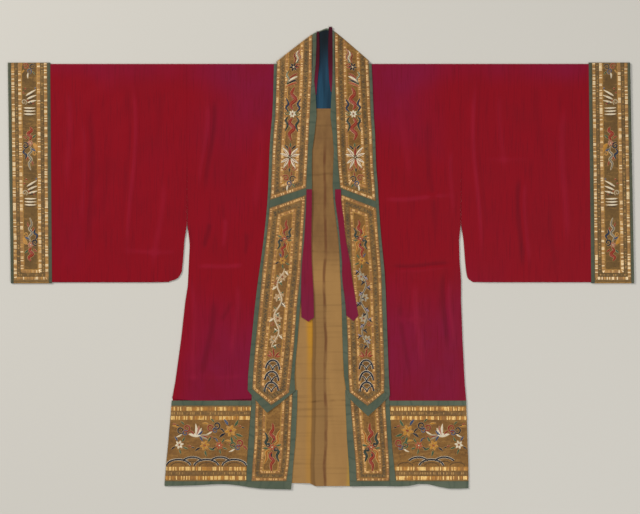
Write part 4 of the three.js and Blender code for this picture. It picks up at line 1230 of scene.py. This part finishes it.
soft_gold = thread_finish("soft_gold_thread", "8e5f34", "bf8548", "ebbc7a")
dull_gold = thread_finish("dull_gold_thread", "6a4f2c", "94703e", "c29657")
dark_thread = thread_finish("dark_gold_thread", "3c3420", "57492b", "8c7040", 0.0)
BORDER_THREAD = {
    "cuff": thread_finish("pale_gold_thread", "9a7040", "dba557", "ffe6b8"),
    "hem": thread_finish("yellow_gold_thread", "96652c", "dc9a3a", "ffd98c"),
    "collar_upper": thread_finish("warm_gold_thread", "99683a", "cd9250", "f6d096"),
    "collar": soft_gold,
    "foot": soft_gold,
}
extras = {node: [] for node in slot_of}
front_bands = [node for node in guides if not node.startswith(("hem_back", "collar_neck"))]
for seed, node in enumerate(front_bands):
    outer, inner = (distance * MM for distance in band_of(node)["lines"])
    wide = band_of(node)["wide"] * MM
    slant = by_name(STRIPE_SLANT, node, 0.0)
    at = {distance: paths_on(node, moved_in(guides[node], distance), EDGE_MARGIN, BAR_SUNK)
          for distance in (outer, inner, (outer + inner) / 2)}
    lines, stripe = at[outer] + at[inner], at[(outer + inner) / 2]
    sizes = FINE_BAR if slant else BAR
    extras[node].append(laid_row(node + "_border", lines, "gold_band", by_name(BORDER_THREAD, node), seed,
                                 Width=wide, **sizes))
    duller = dark_thread if slant else dull_gold
    extras[node].append(laid_row(node + "_stripe", stripe, "gold_band", duller, seed + STRIPE_SEEDS,
                                 Width=(inner - outer - wide) * STRIPE_FILL, Slant=slant, **STRIPE))
bars = sum(len(piece.data.vertices) // CORNERS_OF_A_BAR for made in extras.values() for piece in made)
print(bars, "bars of gold thread")

# %% Stitches that hold the bands and ties down
STITCH = {"Pitch": 5.0 * MM, "Length": 2.6 * MM, "Width": 0.7 * MM, "Height": 0.3 * MM, "Slant": 0.12}
STITCH_INSET = {"gold_band": 0.8 * MM, "red_ribbon": 1.6 * MM}
STITCH_SUNK = 0.05 * MM
STITCH_SEEDS = 90
stitch_finish = {
    "gold_band": thread_finish("binding_stitch_thread", "4c4a30", "66643f", "7c7a58", 0.0),
    "red_ribbon": thread_finish("ribbon_stitch_thread", "4c0f20", "641a30", "7c2c46", 0.0),
}
stitched = front_bands + ["tie_left", "tie_right"]
for seed, node in enumerate(stitched):
    slot = slot_of[node]
    inset = STITCH_INSET[slot]
    paths = paths_on(node, moved_in(simple(layers[node]["loop"]), inset), inset / 2, STITCH_SUNK)
    extras[node].append(laid_row(node + "_stitches", paths, slot, stitch_finish[slot],
                                 seed + STITCH_SEEDS, **STITCH))
print("stitches along", len(stitched), "pieces")

# %% [markdown]
# ## Satin stitch
#
# The coloured motifs are worked in satin stitch: floss laid side by side across a shape until it
# stands a little proud, with a pale gold thread couched round it. Any curl, leaf or petal is then a
# path with a changing width. A stroke here is such a path made into a low closed dome, over a wider
# and lower one for its pale edge, and its colour is kept at its points.

# %% Floss, strokes and the band's own directions
FLOSS = {
    "navy": shade("0f1626"), "blue": shade("2c4468"), "lilac": shade("8a8090"), "green": shade("3a5638"),
    "white": shade("e2d4b8"), "cream": shade("c4a27a"), "silver": shade("a89a80"), "umber": shade("5e4526"),
    "red": shade("8c2512"), "coral": shade("a64422"), "pink": shade("b0705a"), "ochre": shade("c0842a"),
    "edge": shade("b8925a"),
}
# The section of a stroke: shares of its half width and of its height
DOME = ((-1.0, -0.25), (-0.62, 0.78), (0.0, 1.0), (0.62, 0.78), (1.0, -0.25))
FLOSS_HEIGHT, HEART_HEIGHT = 0.75, 0.95
EDGE_HEIGHT, EDGE_EXTRA = 0.4, 1.0
FULL_HEIGHT_WIDTH = 1.6
FLOSS_PITCH = 0.9 * MM
STROKE_SHARP_EDGE = math.radians(70)
TILT_REACH = 20


def floss_finish():
    floss = Finish("satin_stitch_floss", Roughness=0.45, Specular_IOR_Level=0.35)
    along = floss.node("SeparateXYZ", {"Vector": floss.node("UVMap", uv_map="cloth")}, "X")
    place = floss.node("TexCoord", output="Object")
    age = floss.noise(place, 90, (1, 1, 1), 3)
    lines = along.maths("SINE", along * (2 * math.pi / FLOSS_PITCH))
    thread = floss.attribute("thread", "Color")
    colour = floss.tone(thread, floss.between(age, 0.45, 0.8), 0.3, "6e5636")
    colour = floss.tone(colour, floss.between(lines, 0.5, 1.0), 0.18, "2a2018")
    return floss.feed(Base_Color=colour, Normal=floss.bump(lines, 0.0003, 0.5))


satin = floss_finish()


class Needlework:
    """The strokes sewn on one band, drawn in mm across and down from a spot on its centre line."""

    def __init__(self, node):
        self.node, self.sign = node, -1 if node.endswith("left") else 1
        self.points, self.faces, self.colours, self.runs = [], [], [], []
        self.count = 0

    def middle(self, down):
        low, high = reach_at(layers[self.node]["loop"], SHOULDER - down * MM)
        return np.array([(low + high) / 2, SHOULDER - down * MM])

    def start(self, down, scale=1.0, tilted=True, flips=(1, 1)):
        """Sets the spot, the scale and the axes for what is sewn next."""
        self.spot, self.scale = self.middle(down), scale
        below = np.array([0.0, -1.0])
        if tilted:
            below = self.middle(down + TILT_REACH) - self.middle(down - TILT_REACH)
        along = below / np.linalg.norm(below)
        self.out_axis = flips[0] * self.sign * np.array([-along[1], along[0]])
        self.down_axis = flips[1] * along

    def dome(self, path, widths, colour, height):
        """A closed dome along a path, if the whole path lies on the band."""
        spots = self.spot + (path[:, :1] * self.out_axis + path[:, 1:] * self.down_axis) * self.scale * MM
        base = laid_on(self.node, spots)
        if len(base) < len(spots):
            return
        along = np.gradient(spots, axis=0)
        along /= np.maximum(np.linalg.norm(along, axis=1, keepdims=True), TINY)
        side = np.stack([-along[:, 1], along[:, 0]], axis=1)
        widths = widths * self.scale
        tall = height * np.minimum(1, widths / FULL_HEIGHT_WIDTH)
        around = len(DOME)
        ring = np.empty((len(spots), around, 3))
        for place, (share, rise) in enumerate(DOME):
            ring[:, place, :2] = spots + side * (share * widths / 2 * MM)[:, None]
            ring[:, place, 2] = base[:, 2] + rise * tall * MM
        for i in range(len(spots) - 1):
            for k in range(around):
                a, b = self.count + i * around + k, self.count + i * around + (k + 1) % around
                self.faces.append((a, a + around, b + around, b))
        last = self.count + (len(spots) - 1) * around
        self.faces.append(tuple(self.count + k for k in range(around)))
        self.faces.append(tuple(last + k for k in reversed(range(around))))
        run = np.concatenate([[0], np.cumsum(np.linalg.norm(np.diff(spots, axis=0), axis=1))])
        self.points.append(ring.reshape(-1, 3))
        self.runs.append(np.repeat(run, around))
        self.colours.append(np.tile(FLOSS[colour], (len(run) * around, 1)))
        self.count += len(run) * around

    def stroke(self, path, widths, colour, edge="edge"):
        """Floss of one colour over a wider and lower edge of another, or floss alone on top of both."""
        if edge:
            self.dome(path, widths + EDGE_EXTRA, edge, EDGE_HEIGHT)
        self.dome(path, widths, colour, FLOSS_HEIGHT if edge else HEART_HEIGHT)

    def sew(self):
        points = np.vstack(self.points)
        piece = add_mesh(self.node + "_needlework", points, self.faces, satin, STROKE_SHARP_EDGE)
        runs = np.concatenate(self.runs)
        add_uv(piece, np.stack([runs, np.zeros(len(runs))], axis=1))
        colours = piece.data.attributes.new("thread", "FLOAT_COLOR", "POINT")
        colours.data.foreach_set("color", np.vstack(self.colours).astype(np.float32).ravel())
        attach(piece, "root")
        extras[self.node].append(piece)


print(len(FLOSS), "colours of floss")

# %% [markdown]
# ## Curls, petals and blossoms
#
# Old embroideries build clouds, flames and flowers from very few shapes: the curl, the petal and
# the bent leaf. They are functions here, and the larger motifs call them with other sizes, turns
# and colours.

# %% The small shapes
# How many points a turn of a curl, a petal and each stretch of a stem have
CURL_POINTS, PETAL_POINTS, STEM_POINTS = 16, 8, 6
FEWEST_ON_A_CURL = 12
WOUND_IN = 0.78
CURL_END, PETAL_END = 0.45, 0.18
BLOSSOM_TURN = 12


def full(end, share, power=1.0):
    """A stroke's width along it, from a share at its ends to 1 at its fullest."""
    return end + (1 - end) * np.sin(math.pi * share) ** power


def curl(work, u, v, radius, turns_round, start, colour, wide=0.42):
    """A spiral that winds in from its rim, about a middle at u across and v down."""
    share = np.linspace(0, 1, max(FEWEST_ON_A_CURL, round(CURL_POINTS * abs(turns_round))))
    angle = math.radians(start) + 2 * math.pi * turns_round * share
    reach = radius * (1 - WOUND_IN * share)
    path = np.stack([u + reach * np.cos(angle), v + reach * np.sin(angle)], axis=1)
    work.stroke(path, radius * wide * full(CURL_END, np.clip(share + 0.12, 0, 1)), colour)


def petal(work, u, v, heading, length, wide, colour, bend=0.0, edge="edge"):
    """A leaf, petal or flame from u, v on that is widest near its middle and may bend."""
    share = np.linspace(0, 1, PETAL_POINTS)
    angle = math.radians(heading) + math.radians(bend) * share[:-1]
    steps = np.stack([np.cos(angle), np.sin(angle)], axis=1) * length / (PETAL_POINTS - 1)
    path = np.concatenate([[[0, 0]], np.cumsum(steps, axis=0)]) + [u, v]
    work.stroke(path, wide * full(PETAL_END, share**0.8), colour, edge)


def stem(work, points, wide, colour, taper=0.3, edge="edge"):
    """A smooth line through some points, as a Catmull-Rom curve."""
    points = np.array(points, float)
    knots = np.vstack([2 * points[0] - points[1], points, 2 * points[-1] - points[-2]])
    path = []
    for a, b, c, d in zip(knots, knots[1:], knots[2:], knots[3:]):
        for t in np.linspace(0, 1, STEM_POINTS)[:-1]:
            square, cube = 2 * a - 5 * b + 4 * c - d, 3 * b - a - 3 * c + d
            path.append((2 * b + (c - a) * t + square * t**2 + cube * t**3) / 2)
    path = np.array(path + [points[-1]])
    share = np.linspace(0, 1, len(path))
    work.stroke(path, wide * full(taper, share, 0.6), colour, edge)


def blossom(work, u, v, radius, count, colour, heart):
    for index in range(count):
        heading = 360 * index / count + BLOSSOM_TURN
        angle = math.radians(heading)
        start = (u + 0.22 * radius * math.cos(angle), v + 0.22 * radius * math.sin(angle))
        petal(work, *start, heading, 0.8 * radius, 0.62 * radius, colour)
    petal(work, u - 0.2 * radius, v, 0, 0.4 * radius, 0.4 * radius, heart)


def spray(work, u=0, v=0, size=18, colour="ochre", heart="red"):
    """A blossom with its leaves."""
    for heading, leaf in ((150, "green"), (25, "navy"), (95, "green"), (-65, "blue"), (-130, "green")):
        angle = math.radians(heading)
        start = (u + size * math.cos(angle), v + size * math.sin(angle))
        petal(work, *start, heading, 1.25 * size, 0.5 * size, leaf, 24)
    blossom(work, u, v, size, 6, colour, heart)


print("curl, petal, stem, blossom and spray")

# %% [markdown]
# ## The motifs
#
# The motifs are ordinary ones for such a robe: scrolling clouds, flames, winged ribbons, blossoms
# with leaves, a small bird and rounded waves. Each is drawn about its own middle, with a positive
# first number pointing out towards the sleeve and a positive second one pointing down, in mm. A
# curl then takes its radius, its turns, where it starts in degrees and its width as a share of the
# radius. A petal takes its heading in degrees, its length and width, and how many degrees it bends.

# %% Clouds, wings, flames and waves
ARCH_POINTS = 17


def tongue(work, points, wide, colour, heart=None):
    """A waving flame or tail, with a thin second colour down its middle."""
    stem(work, points, wide, colour)
    if heart:
        stem(work, points, wide * 0.3, heart, edge=None)


def cloud(work):
    """Three hooked curls with short flames between them."""
    curl(work, -9, -6, 9, 1.2, 200, "navy", 0.5)
    curl(work, 9, -8, 9, -1.2, -20, "red", 0.5)
    curl(work, 0, 6, 8, 1.2, 90, "blue", 0.5)
    petal(work, 2, 10, 70, 17, 5.5, "white", 40)
    petal(work, -9, 6, 140, 13, 5, "green", -30)
    petal(work, 13, 2, 40, 12, 4.5, "ochre", 30)
    petal(work, -4, -14, -110, 12, 4.5, "red", 30)


def scroll(work):
    """A flame above a blossom and a trailing ribbon, with curls at its sides."""
    tongue(work, [(1, -62), (6, -52), (-5, -43), (4, -33), (-2, -24)], 10.5, "red", "coral")
    petal(work, 8, -30, -60, 15, 6.5, "green", 40)
    petal(work, -7, -28, -125, 14, 5.5, "red", -40)
    blossom(work, 1, -17, 9, 6, "pink", "white")
    curl(work, -12, -10, 9, 1.25, 250, "navy", 0.7)
    tongue(work, [(-13, -2), (-18, 8), (-10, 16), (-13, 27)], 8, "navy", "blue")
    petal(work, 9, -16, 40, 27, 12, "ochre", 55)
    curl(work, 14, 12, 6.5, -1.2, 300, "ochre", 0.5)
    petal(work, 3, -2, 20, 17, 6, "blue", 35)
    tongue(work, [(0, -8), (5, 4), (-4, 16), (4, 28), (-3, 40), (2, 58)], 8.5, "silver", "navy")
    petal(work, -3, 20, 130, 14, 5, "red", -40)
    petal(work, 4, 32, 55, 15, 5, "red", 40)


def wings(work):
    """Two fans of pale bars, with dots between them."""
    for step in range(3):
        petal(work, -9 + step * 2, -14 + step * 9, -34 + step * 8, 31 - step * 3, 5.6, "white", 8)
        petal(work, -8 + step * 2, -10 + step * 9, -32 + step * 8, 25 - step * 3, 1.9, "navy", 8, None)
    for step in range(3):
        petal(work, -15, 17 + step * 8, 6, 31, 5.2, "white", -12)
        petal(work, -13, 21 + step * 8, 6, 26, 1.7, "navy", -12, None)
    curl(work, -14, 2, 7.5, -1.3, 60, "silver", 0.45)
    dots = [(-4, -2, "red"), (3, 2, "blue"), (10, 6, "red"), (-15, -22, "red"), (16, -34, "blue"),
            (-10, -33, "red")]
    for u, v, colour in dots:
        petal(work, u - 2.5, v, 0, 5.2, 5.2, colour)


def flames(work):
    """Five tongues that rise from one spot."""
    tongues = [(0, -90, 30, "red"), (-8, -112, 22, "red"), (8, -68, 22, "coral"), (-14, -140, 15, "coral"),
               (14, -40, 15, "red")]
    for aside, heading, length, colour in tongues:
        petal(work, aside * 0.6, 10, heading, length, 7, colour, 26 if aside >= 0 else -26)


def flame_cloud(work):
    """A rosette with a flame above and below and hooked clouds, the same when turned half round."""
    for way in (1, -1):
        flame = np.array([(1, -10), (-4, -21), (5, -31), (0, -42), (2, -56)]) * way
        ochre_hook = np.array([(-4, -6), (-13, -13), (-11, -26), (-16, -40)]) * way
        dark_hook = np.array([(6, -5), (16, -9), (12, -20), (18, -33)]) * way
        tongue(work, flame, 9.5, "red", "coral")
        tongue(work, ochre_hook, 7.5, "ochre", "red")
        tongue(work, dark_hook, 8, "navy", "green")
        curl(work, 9 * way, -6 * way, 6, 1.1, 90 - 90 * way, "navy", 0.6)
        petal(work, -2 * way, -12 * way, -100 * way, 12, 6, "navy", 10)
        petal(work, -10 * way, -4 * way, 90 + 100 * way, 12, 5.5, "green", 20)
    blossom(work, 0, 0, 9, 6, "coral", "white")


def long_flame(work):
    """A rosette between two long flames, with a dark cloud on each side."""
    for way in (-1, 1):
        points = [(0, 11 * way), (6, 24 * way), (-6, 38 * way), (5, 53 * way), (-1, 70 * way)]
        tongue(work, points, 12, "red", "coral")
    for side in (-1, 1):
        above = [(11 * side, -6), (18 * side, -16), (12 * side, -26), (19 * side, -40)]
        below = [(11 * side, 8), (17 * side, 18), (11 * side, 30), (17 * side, 46)]
        tongue(work, above, 7.5, "navy", "blue")
        tongue(work, below, 7.5, "navy", "green")
        curl(work, 13 * side, -3, 7, 1.2 * side, 90 - 90 * side, "green", 0.5)
    blossom(work, 0, 0, 10, 7, "white", "red")


def bloom(work):
    """A blossom with pale striped petals that spread like wings."""
    for side in (-1, 1):
        for heading, length in ((-52, 25), (-20, 22), (28, 22), (58, 25)):
            angle = heading if side > 0 else 180 - heading
            petal(work, 3 * side, 0.1 * heading, angle, length, 7.5, "white", 8 * side)
            petal(work, 4 * side, 0.1 * heading, angle, length * 0.8, 2.4, "red", 8 * side, None)
        curl(work, 12 * side, 27, 6, 1.2 * side, 90 - 90 * side, "red", 0.55)
        petal(work, 4 * side, -20, -90 + 38 * side, 15, 6, "navy", 20 * side)
    petal(work, 0, -4, -90, 22, 8, "red", 12)
    petal(work, 0, 4, 90, 24, 8, "coral", -12)
    blossom(work, 0, 0, 7, 5, "navy", "white")
    petal(work, 0, -26, -90, 10, 6, "green")
    petal(work, 0, 27, 90, 10, 6, "navy")


def bat_bloom(work):
    """Curving bars over a blossom and trailing ribbons below it."""
    for step, colour in enumerate(("pink", "white", "red")):
        bar = [(-14, -52), (-8, -42), (-14, -31), (-9, -18)]
        lean = [(6, 5), (5, 4), (6, 3), (5, 2)]
        tongue(work, np.array(bar) + step * np.array(lean), 5, colour, "navy")
    curl(work, -9, -6, 7, 1.2, 200, "red", 0.6)
    blossom(work, 2, -4, 11, 6, "navy", "white")
    petal(work, -5, -15, -130, 12, 6, "green", 30)
    for step, colour in enumerate(("red", "white", "navy", "coral")):
        petal(work, -10, 12 + step * 8, 28 - step * 4, 31, 6.2, colour, 20)
    tongue(work, [(14, 8), (19, 18), (12, 28), (17, 42)], 6, "green", "white")


def arch(work, u, v, half, tall, wide, colour, edge=None, reach=(4, 176)):
    """A line that rises and falls as a part of an oval."""
    angle = np.radians(np.linspace(*reach, ARCH_POINTS))
    path = np.stack([u + half * np.cos(angle), v - tall * np.sin(angle)], axis=1)
    work.stroke(path, np.full(len(path), wide), colour, edge)


def wave_hill(work, u, v, half, tall, reach):
    """A rounded wave with a smaller one inside it."""
    arch(work, u, v, half * 0.62, tall * 0.56, 2.6, "umber", reach=reach)
    arch(work, u, v, half, tall, 6.2, "navy", "white", reach)


def wave_tier(work):
    """One scale of water, with the two scales below it rising inside it."""
    arch(work, 0, 17, 12.5, 20, 2.2, "umber")
    arch(work, 21, 19, 20, 19, 4.8, "navy", "white", (100, 176))
    arch(work, -21, 19, 20, 19, 4.8, "navy", "white", (4, 80))
    arch(work, 0, 17, 20.5, 29, 6.6, "navy", "white")


VINE_SWING, VINE_WAVE = 9, 96
VINE_TAPER = 0.45


def swung(v):
    """How far out the stem of a vine has swung at v down."""
    return VINE_SWING * math.sin(2 * math.pi * v / VINE_WAVE)


def vine(work, span, body, leaves):
    """A long scroll of leaves and blossoms down the middle of a band."""
    half = span / 2
    places = [(swung(v), v) for v in np.linspace(-half, half, 21)]
    stem(work, places, 6.5, body, VINE_TAPER)
    stem(work, places, 2.6, leaves[0], VINE_TAPER, None)
    for index, v in enumerate(np.linspace(8 - half, half - 8, 15)):
        side = 1 if index % 2 else -1
        lower, upper = leaves[index % len(leaves)], leaves[(index + 1) % len(leaves)]
        petal(work, swung(v) + 2 * side, v, 90 - 58 * side, 17, 7.5, lower, 30 * side)
        petal(work, swung(v) + 2 * side, v + 5, -90 + 66 * side, 14, 6, upper, -26 * side)
    for index, v in enumerate(np.linspace(26 - half, half - 26, 4)):
        side = -1 if index % 2 else 1
        blossom(work, swung(v) * 0.3 - 5 * side, v, 13, 6, body, ("red", "ochre")[index % 2])
        curl(work, 13 * side, v + 17, 6.5, 1.2 * side, 90 - 90 * side, ("red", "navy")[index % 2], 0.5)


def bird(work, u, v, size=1.0):
    """A small bird in flight: body, raised wing, tail and beak."""
    petal(work, u - 9 * size, v, 0, 24 * size, 9 * size, "white", -16)
    for step, colour in enumerate(("white", "pink", "white", "blue")):
        petal(work, u - step * size, v - 1, -98 - 17 * step, (23 - 3 * step) * size, 6 * size, colour, 24)
    for step in (-1, 0, 1):
        petal(work, u - 8 * size, v, 168 + 16 * step, 18 * size, 4 * size, "silver" if step else "red")
    petal(work, u + 13 * size, v - 4 * size, 10, 6 * size, 3 * size, "red")


print("clouds, scrolls, wings, flames, blooms, waves, a vine and a bird")

# %% [markdown]
# ## Where the motifs go
#
# The layout is a table for each kind of band: the motif, how far down it sits, its scale and
# whether it is turned over. Left and right mirror each other, but for the colours of the vine. On
# the hem, rounded waves stand along the bottom as a shore, and clouds, blossoms, leaves and a
# small bird fill the field above them.

# %% Sew the bands
PLAIN, MIRRORED, UPSIDE_DOWN = (1, 1), (-1, 1), (1, -1)
LAYOUT = {
    "cuff": [(cloud, 16, 1.05, PLAIN), (wings, 112, 1.15, MIRRORED), (scroll, 256, 1.08, MIRRORED),
             (wings, 384, 1.15, MIRRORED), (scroll, 524, 1.08, UPSIDE_DOWN)],
    "collar_upper": [(bat_bloom, 14, 1.15, PLAIN), (long_flame, 150, 1.14, PLAIN), (bloom, 280, 1.2, PLAIN),
                     (cloud, 352, 1.12, PLAIN)],
    "collar_lower": [(flame_cloud, 524, 1.02, MIRRORED), (spray, 590, 0.62, PLAIN), (flames, 870, 1.0, PLAIN),
                     *((wave_tier, down, 1.0, PLAIN) for down in (900, 934, 966))],
    "foot_panel": [(flame_cloud, 1149, 1.28, PLAIN)],
}
VINE_MIDDLE, VINE_SPAN = 732, 240
VINE_FLOSS = {"left": ("cream", ("white", "cream", "green")), "right": ("silver", ("navy", "lilac", "navy"))}
HEM_SHORE, HEM_MIDDLE = 1206, 1118
HILLS, HILL_HALF, HILL_HEIGHTS = 5, 36, (20, 27)
HILL_REACHES = ((6, 174), (38, 142))


def sky_cloud(work, u, v, first, second):
    """Three curls that lean on each other, with leaves round them."""
    curl(work, u, v, 12, 1.3, 40, first, 0.5)
    curl(work, u + 18, v + 6, 11, -1.3, 140, second, 0.5)
    curl(work, u + 4, v + 15, 9, 1.2, 220, "blue", 0.5)
    petal(work, u - 10, v + 8, 150, 20, 6.5, first, -40)
    petal(work, u + 24, v - 4, -20, 20, 6.5, "ochre", 30)
    petal(work, u + 8, v - 10, -60, 15, 6, "green", 40)
    petal(work, u + 14, v + 18, 40, 20, 5.5, "white", -30)


def hem_field(work, reach):
    """The shore and the sky of a hem that reaches some way to both sides of its middle."""
    work.start(HEM_SHORE, tilted=False)
    for index, u in enumerate(np.linspace(HILL_HALF - reach, reach - HILL_HALF, HILLS)):
        behind = index % 2
        wave_hill(work, u, 0, HILL_HALF, HILL_HEIGHTS[behind], HILL_REACHES[behind])
    work.start(HEM_MIDDLE, tilted=False)
    sky_cloud(work, 66, -26, "red", "navy")
    sky_cloud(work, -24, -34, "navy", "red")
    sky_cloud(work, -92, 18, "red", "green")
    spray(work, -66, -18, 18, "ochre", "red")
    spray(work, 12, 26, 15, "ochre", "coral")
    spray(work, 88, 24, 13, "white", "red")
    spray(work, -32, 26, 12, "coral", "white")
    bird(work, 38, -4, 1.5)
    for u, v in ((-12, 2), (52, 30), (98, -36), (-98, -30), (-70, 26)):
        petal(work, u, v, -30, 11, 5, "red", 30)
        petal(work, u, v, 150, 11, 5, "navy", 30)


for node in front_bands:
    work = Needlework(node)
    for motif, down, scale, flips in by_name(LAYOUT, node, []):
        work.start(down, scale, flips=flips)
        motif(work)
    if node.startswith("collar_lower"):
        work.start(VINE_MIDDLE)
        vine(work, VINE_SPAN, *VINE_FLOSS["left" if work.sign < 0 else "right"])
    if node.startswith("hem_front"):
        low, high = reach_at(layers[node]["loop"], SHOULDER - HEM_MIDDLE * MM)
        hem_field(work, (high - low) / 2 / MM)
    work.sew()

sewn = {piece.name: 2 * len(piece.data.polygons) for made in extras.values() for piece in made}
print(len(sewn), "pieces of thread,", sum(sewn.values()), "triangles or so")

# %% [markdown]
# ## The cut of each panel
#
# The size that each piece of cloth was cut to, laid flat, is measured along the grid: a sleeve's
# cut goes all round its tube, and a body half's from the back hem over the shoulder to the front
# hem, and the areas are added up. The borders, stitches and needlework on a panel carry its name.

# %% The cut area of every sheet
NARROWEST_CUT = 10.1 * MM


def declare_sheet(node):
    grid, closed = grids[node], node.startswith(("sleeve", "cuff"))
    width = max(float(steps_along(grid, 1).max()), NARROWEST_CUT)
    ring = np.vstack([grid, grid[:1]]) if closed else grid
    length = max(float(steps_along(ring, 0).max()), NARROWEST_CUT)
    return width * length


cut_area = sum(declare_sheet(node) for node in pieces)
print(len(pieces), "sheets, cut from", round(cut_area, 2), "square metres")

# %% [markdown]
# ## Floor, light and camera
#
# The robe lies on a plain pale floor. One large soft light stands low on the left, so that the
# creases show, and a wide dim one overhead fills the shadows. The camera looks straight down.

# %% Stage and view
PIXEL = 3 * MM
WIDE_PIXELS, HIGH_PIXELS = 640, 514
SHOULDER_PIXEL, VIEW_ASIDE = 64, 1.5 * MM
VIEW_CENTRE = (CENTRE - VIEW_ASIDE, SHOULDER - (HIGH_PIXELS / 2 - SHOULDER_PIXEL) * PIXEL)
CAMERA_HEIGHT = 6.0
SENSOR = 36.0
HALF_FLOOR, FLOOR_DROP = 4.0, 0.2 * MM
WORLD_STRENGTH = 0.35

floor_mesh = bpy.data.meshes.new("floor")
floor_corners = [(x * HALF_FLOOR, y * HALF_FLOOR, 0) for x, y in ((-1, -1), (1, -1), (1, 1), (-1, 1))]
floor_mesh.from_pydata(floor_corners, [], [(0, 1, 2, 3)])
floor = bpy.data.objects.new("floor", floor_mesh)
floor.location.z = -FLOOR_DROP
bpy.context.scene.collection.objects.link(floor)
pale = Finish("pale_floor", Base_Color=shade("cfccc4"), Roughness=0.9, Specular_IOR_Level=0.1)
floor_mesh.materials.append(pale.material)
floor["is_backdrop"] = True

camera = bpy.data.objects.new("camera", bpy.data.cameras.new("camera"))
bpy.context.scene.collection.objects.link(camera)
camera.location = (*VIEW_CENTRE, CAMERA_HEIGHT)
camera.data.sensor_width = SENSOR
camera.data.lens = SENSOR * CAMERA_HEIGHT / (WIDE_PIXELS * PIXEL)
bpy.context.scene.camera = camera


def soft_light(name, place, size, power, colour=(1, 1, 1)):
    """A round light of some width in metres and power in watts, turned to the middle of the robe."""
    data = bpy.data.lights.new(name, "AREA")
    data.shape, data.size, data.energy, data.color = "DISK", size, power, colour
    light = bpy.data.objects.new(name, data)
    light.location = place
    light.rotation_euler = (-Vector(place)).to_track_quat("-Z", "Y").to_euler()
    bpy.context.scene.collection.objects.link(light)


soft_light("side_light", (-5.4, 4.0, 4.0), 2.6, 460, (1.0, 0.97, 0.93))
soft_light("fill_light", (1.8, -1.6, 3.6), 3.0, 70)
world = bpy.data.worlds.new("studio")
world.use_nodes = True
world.node_tree.nodes["Background"].inputs["Color"].default_value = (1, 1, 1, 1)
world.node_tree.nodes["Background"].inputs["Strength"].default_value = WORLD_STRENGTH
bpy.context.scene.world = world
bpy.context.scene.view_settings.view_transform = "Standard"
print("camera lens", round(camera.data.lens, 1), "mm from", CAMERA_HEIGHT, "m")

# %% Print the sizes of the CAD and visual boxes
low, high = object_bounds()
for title, box in (("CAD box", (*cad_low, *cad_high)), ("visual box", (*low, *high))):
    print(title, [round(value, 4) for value in box])
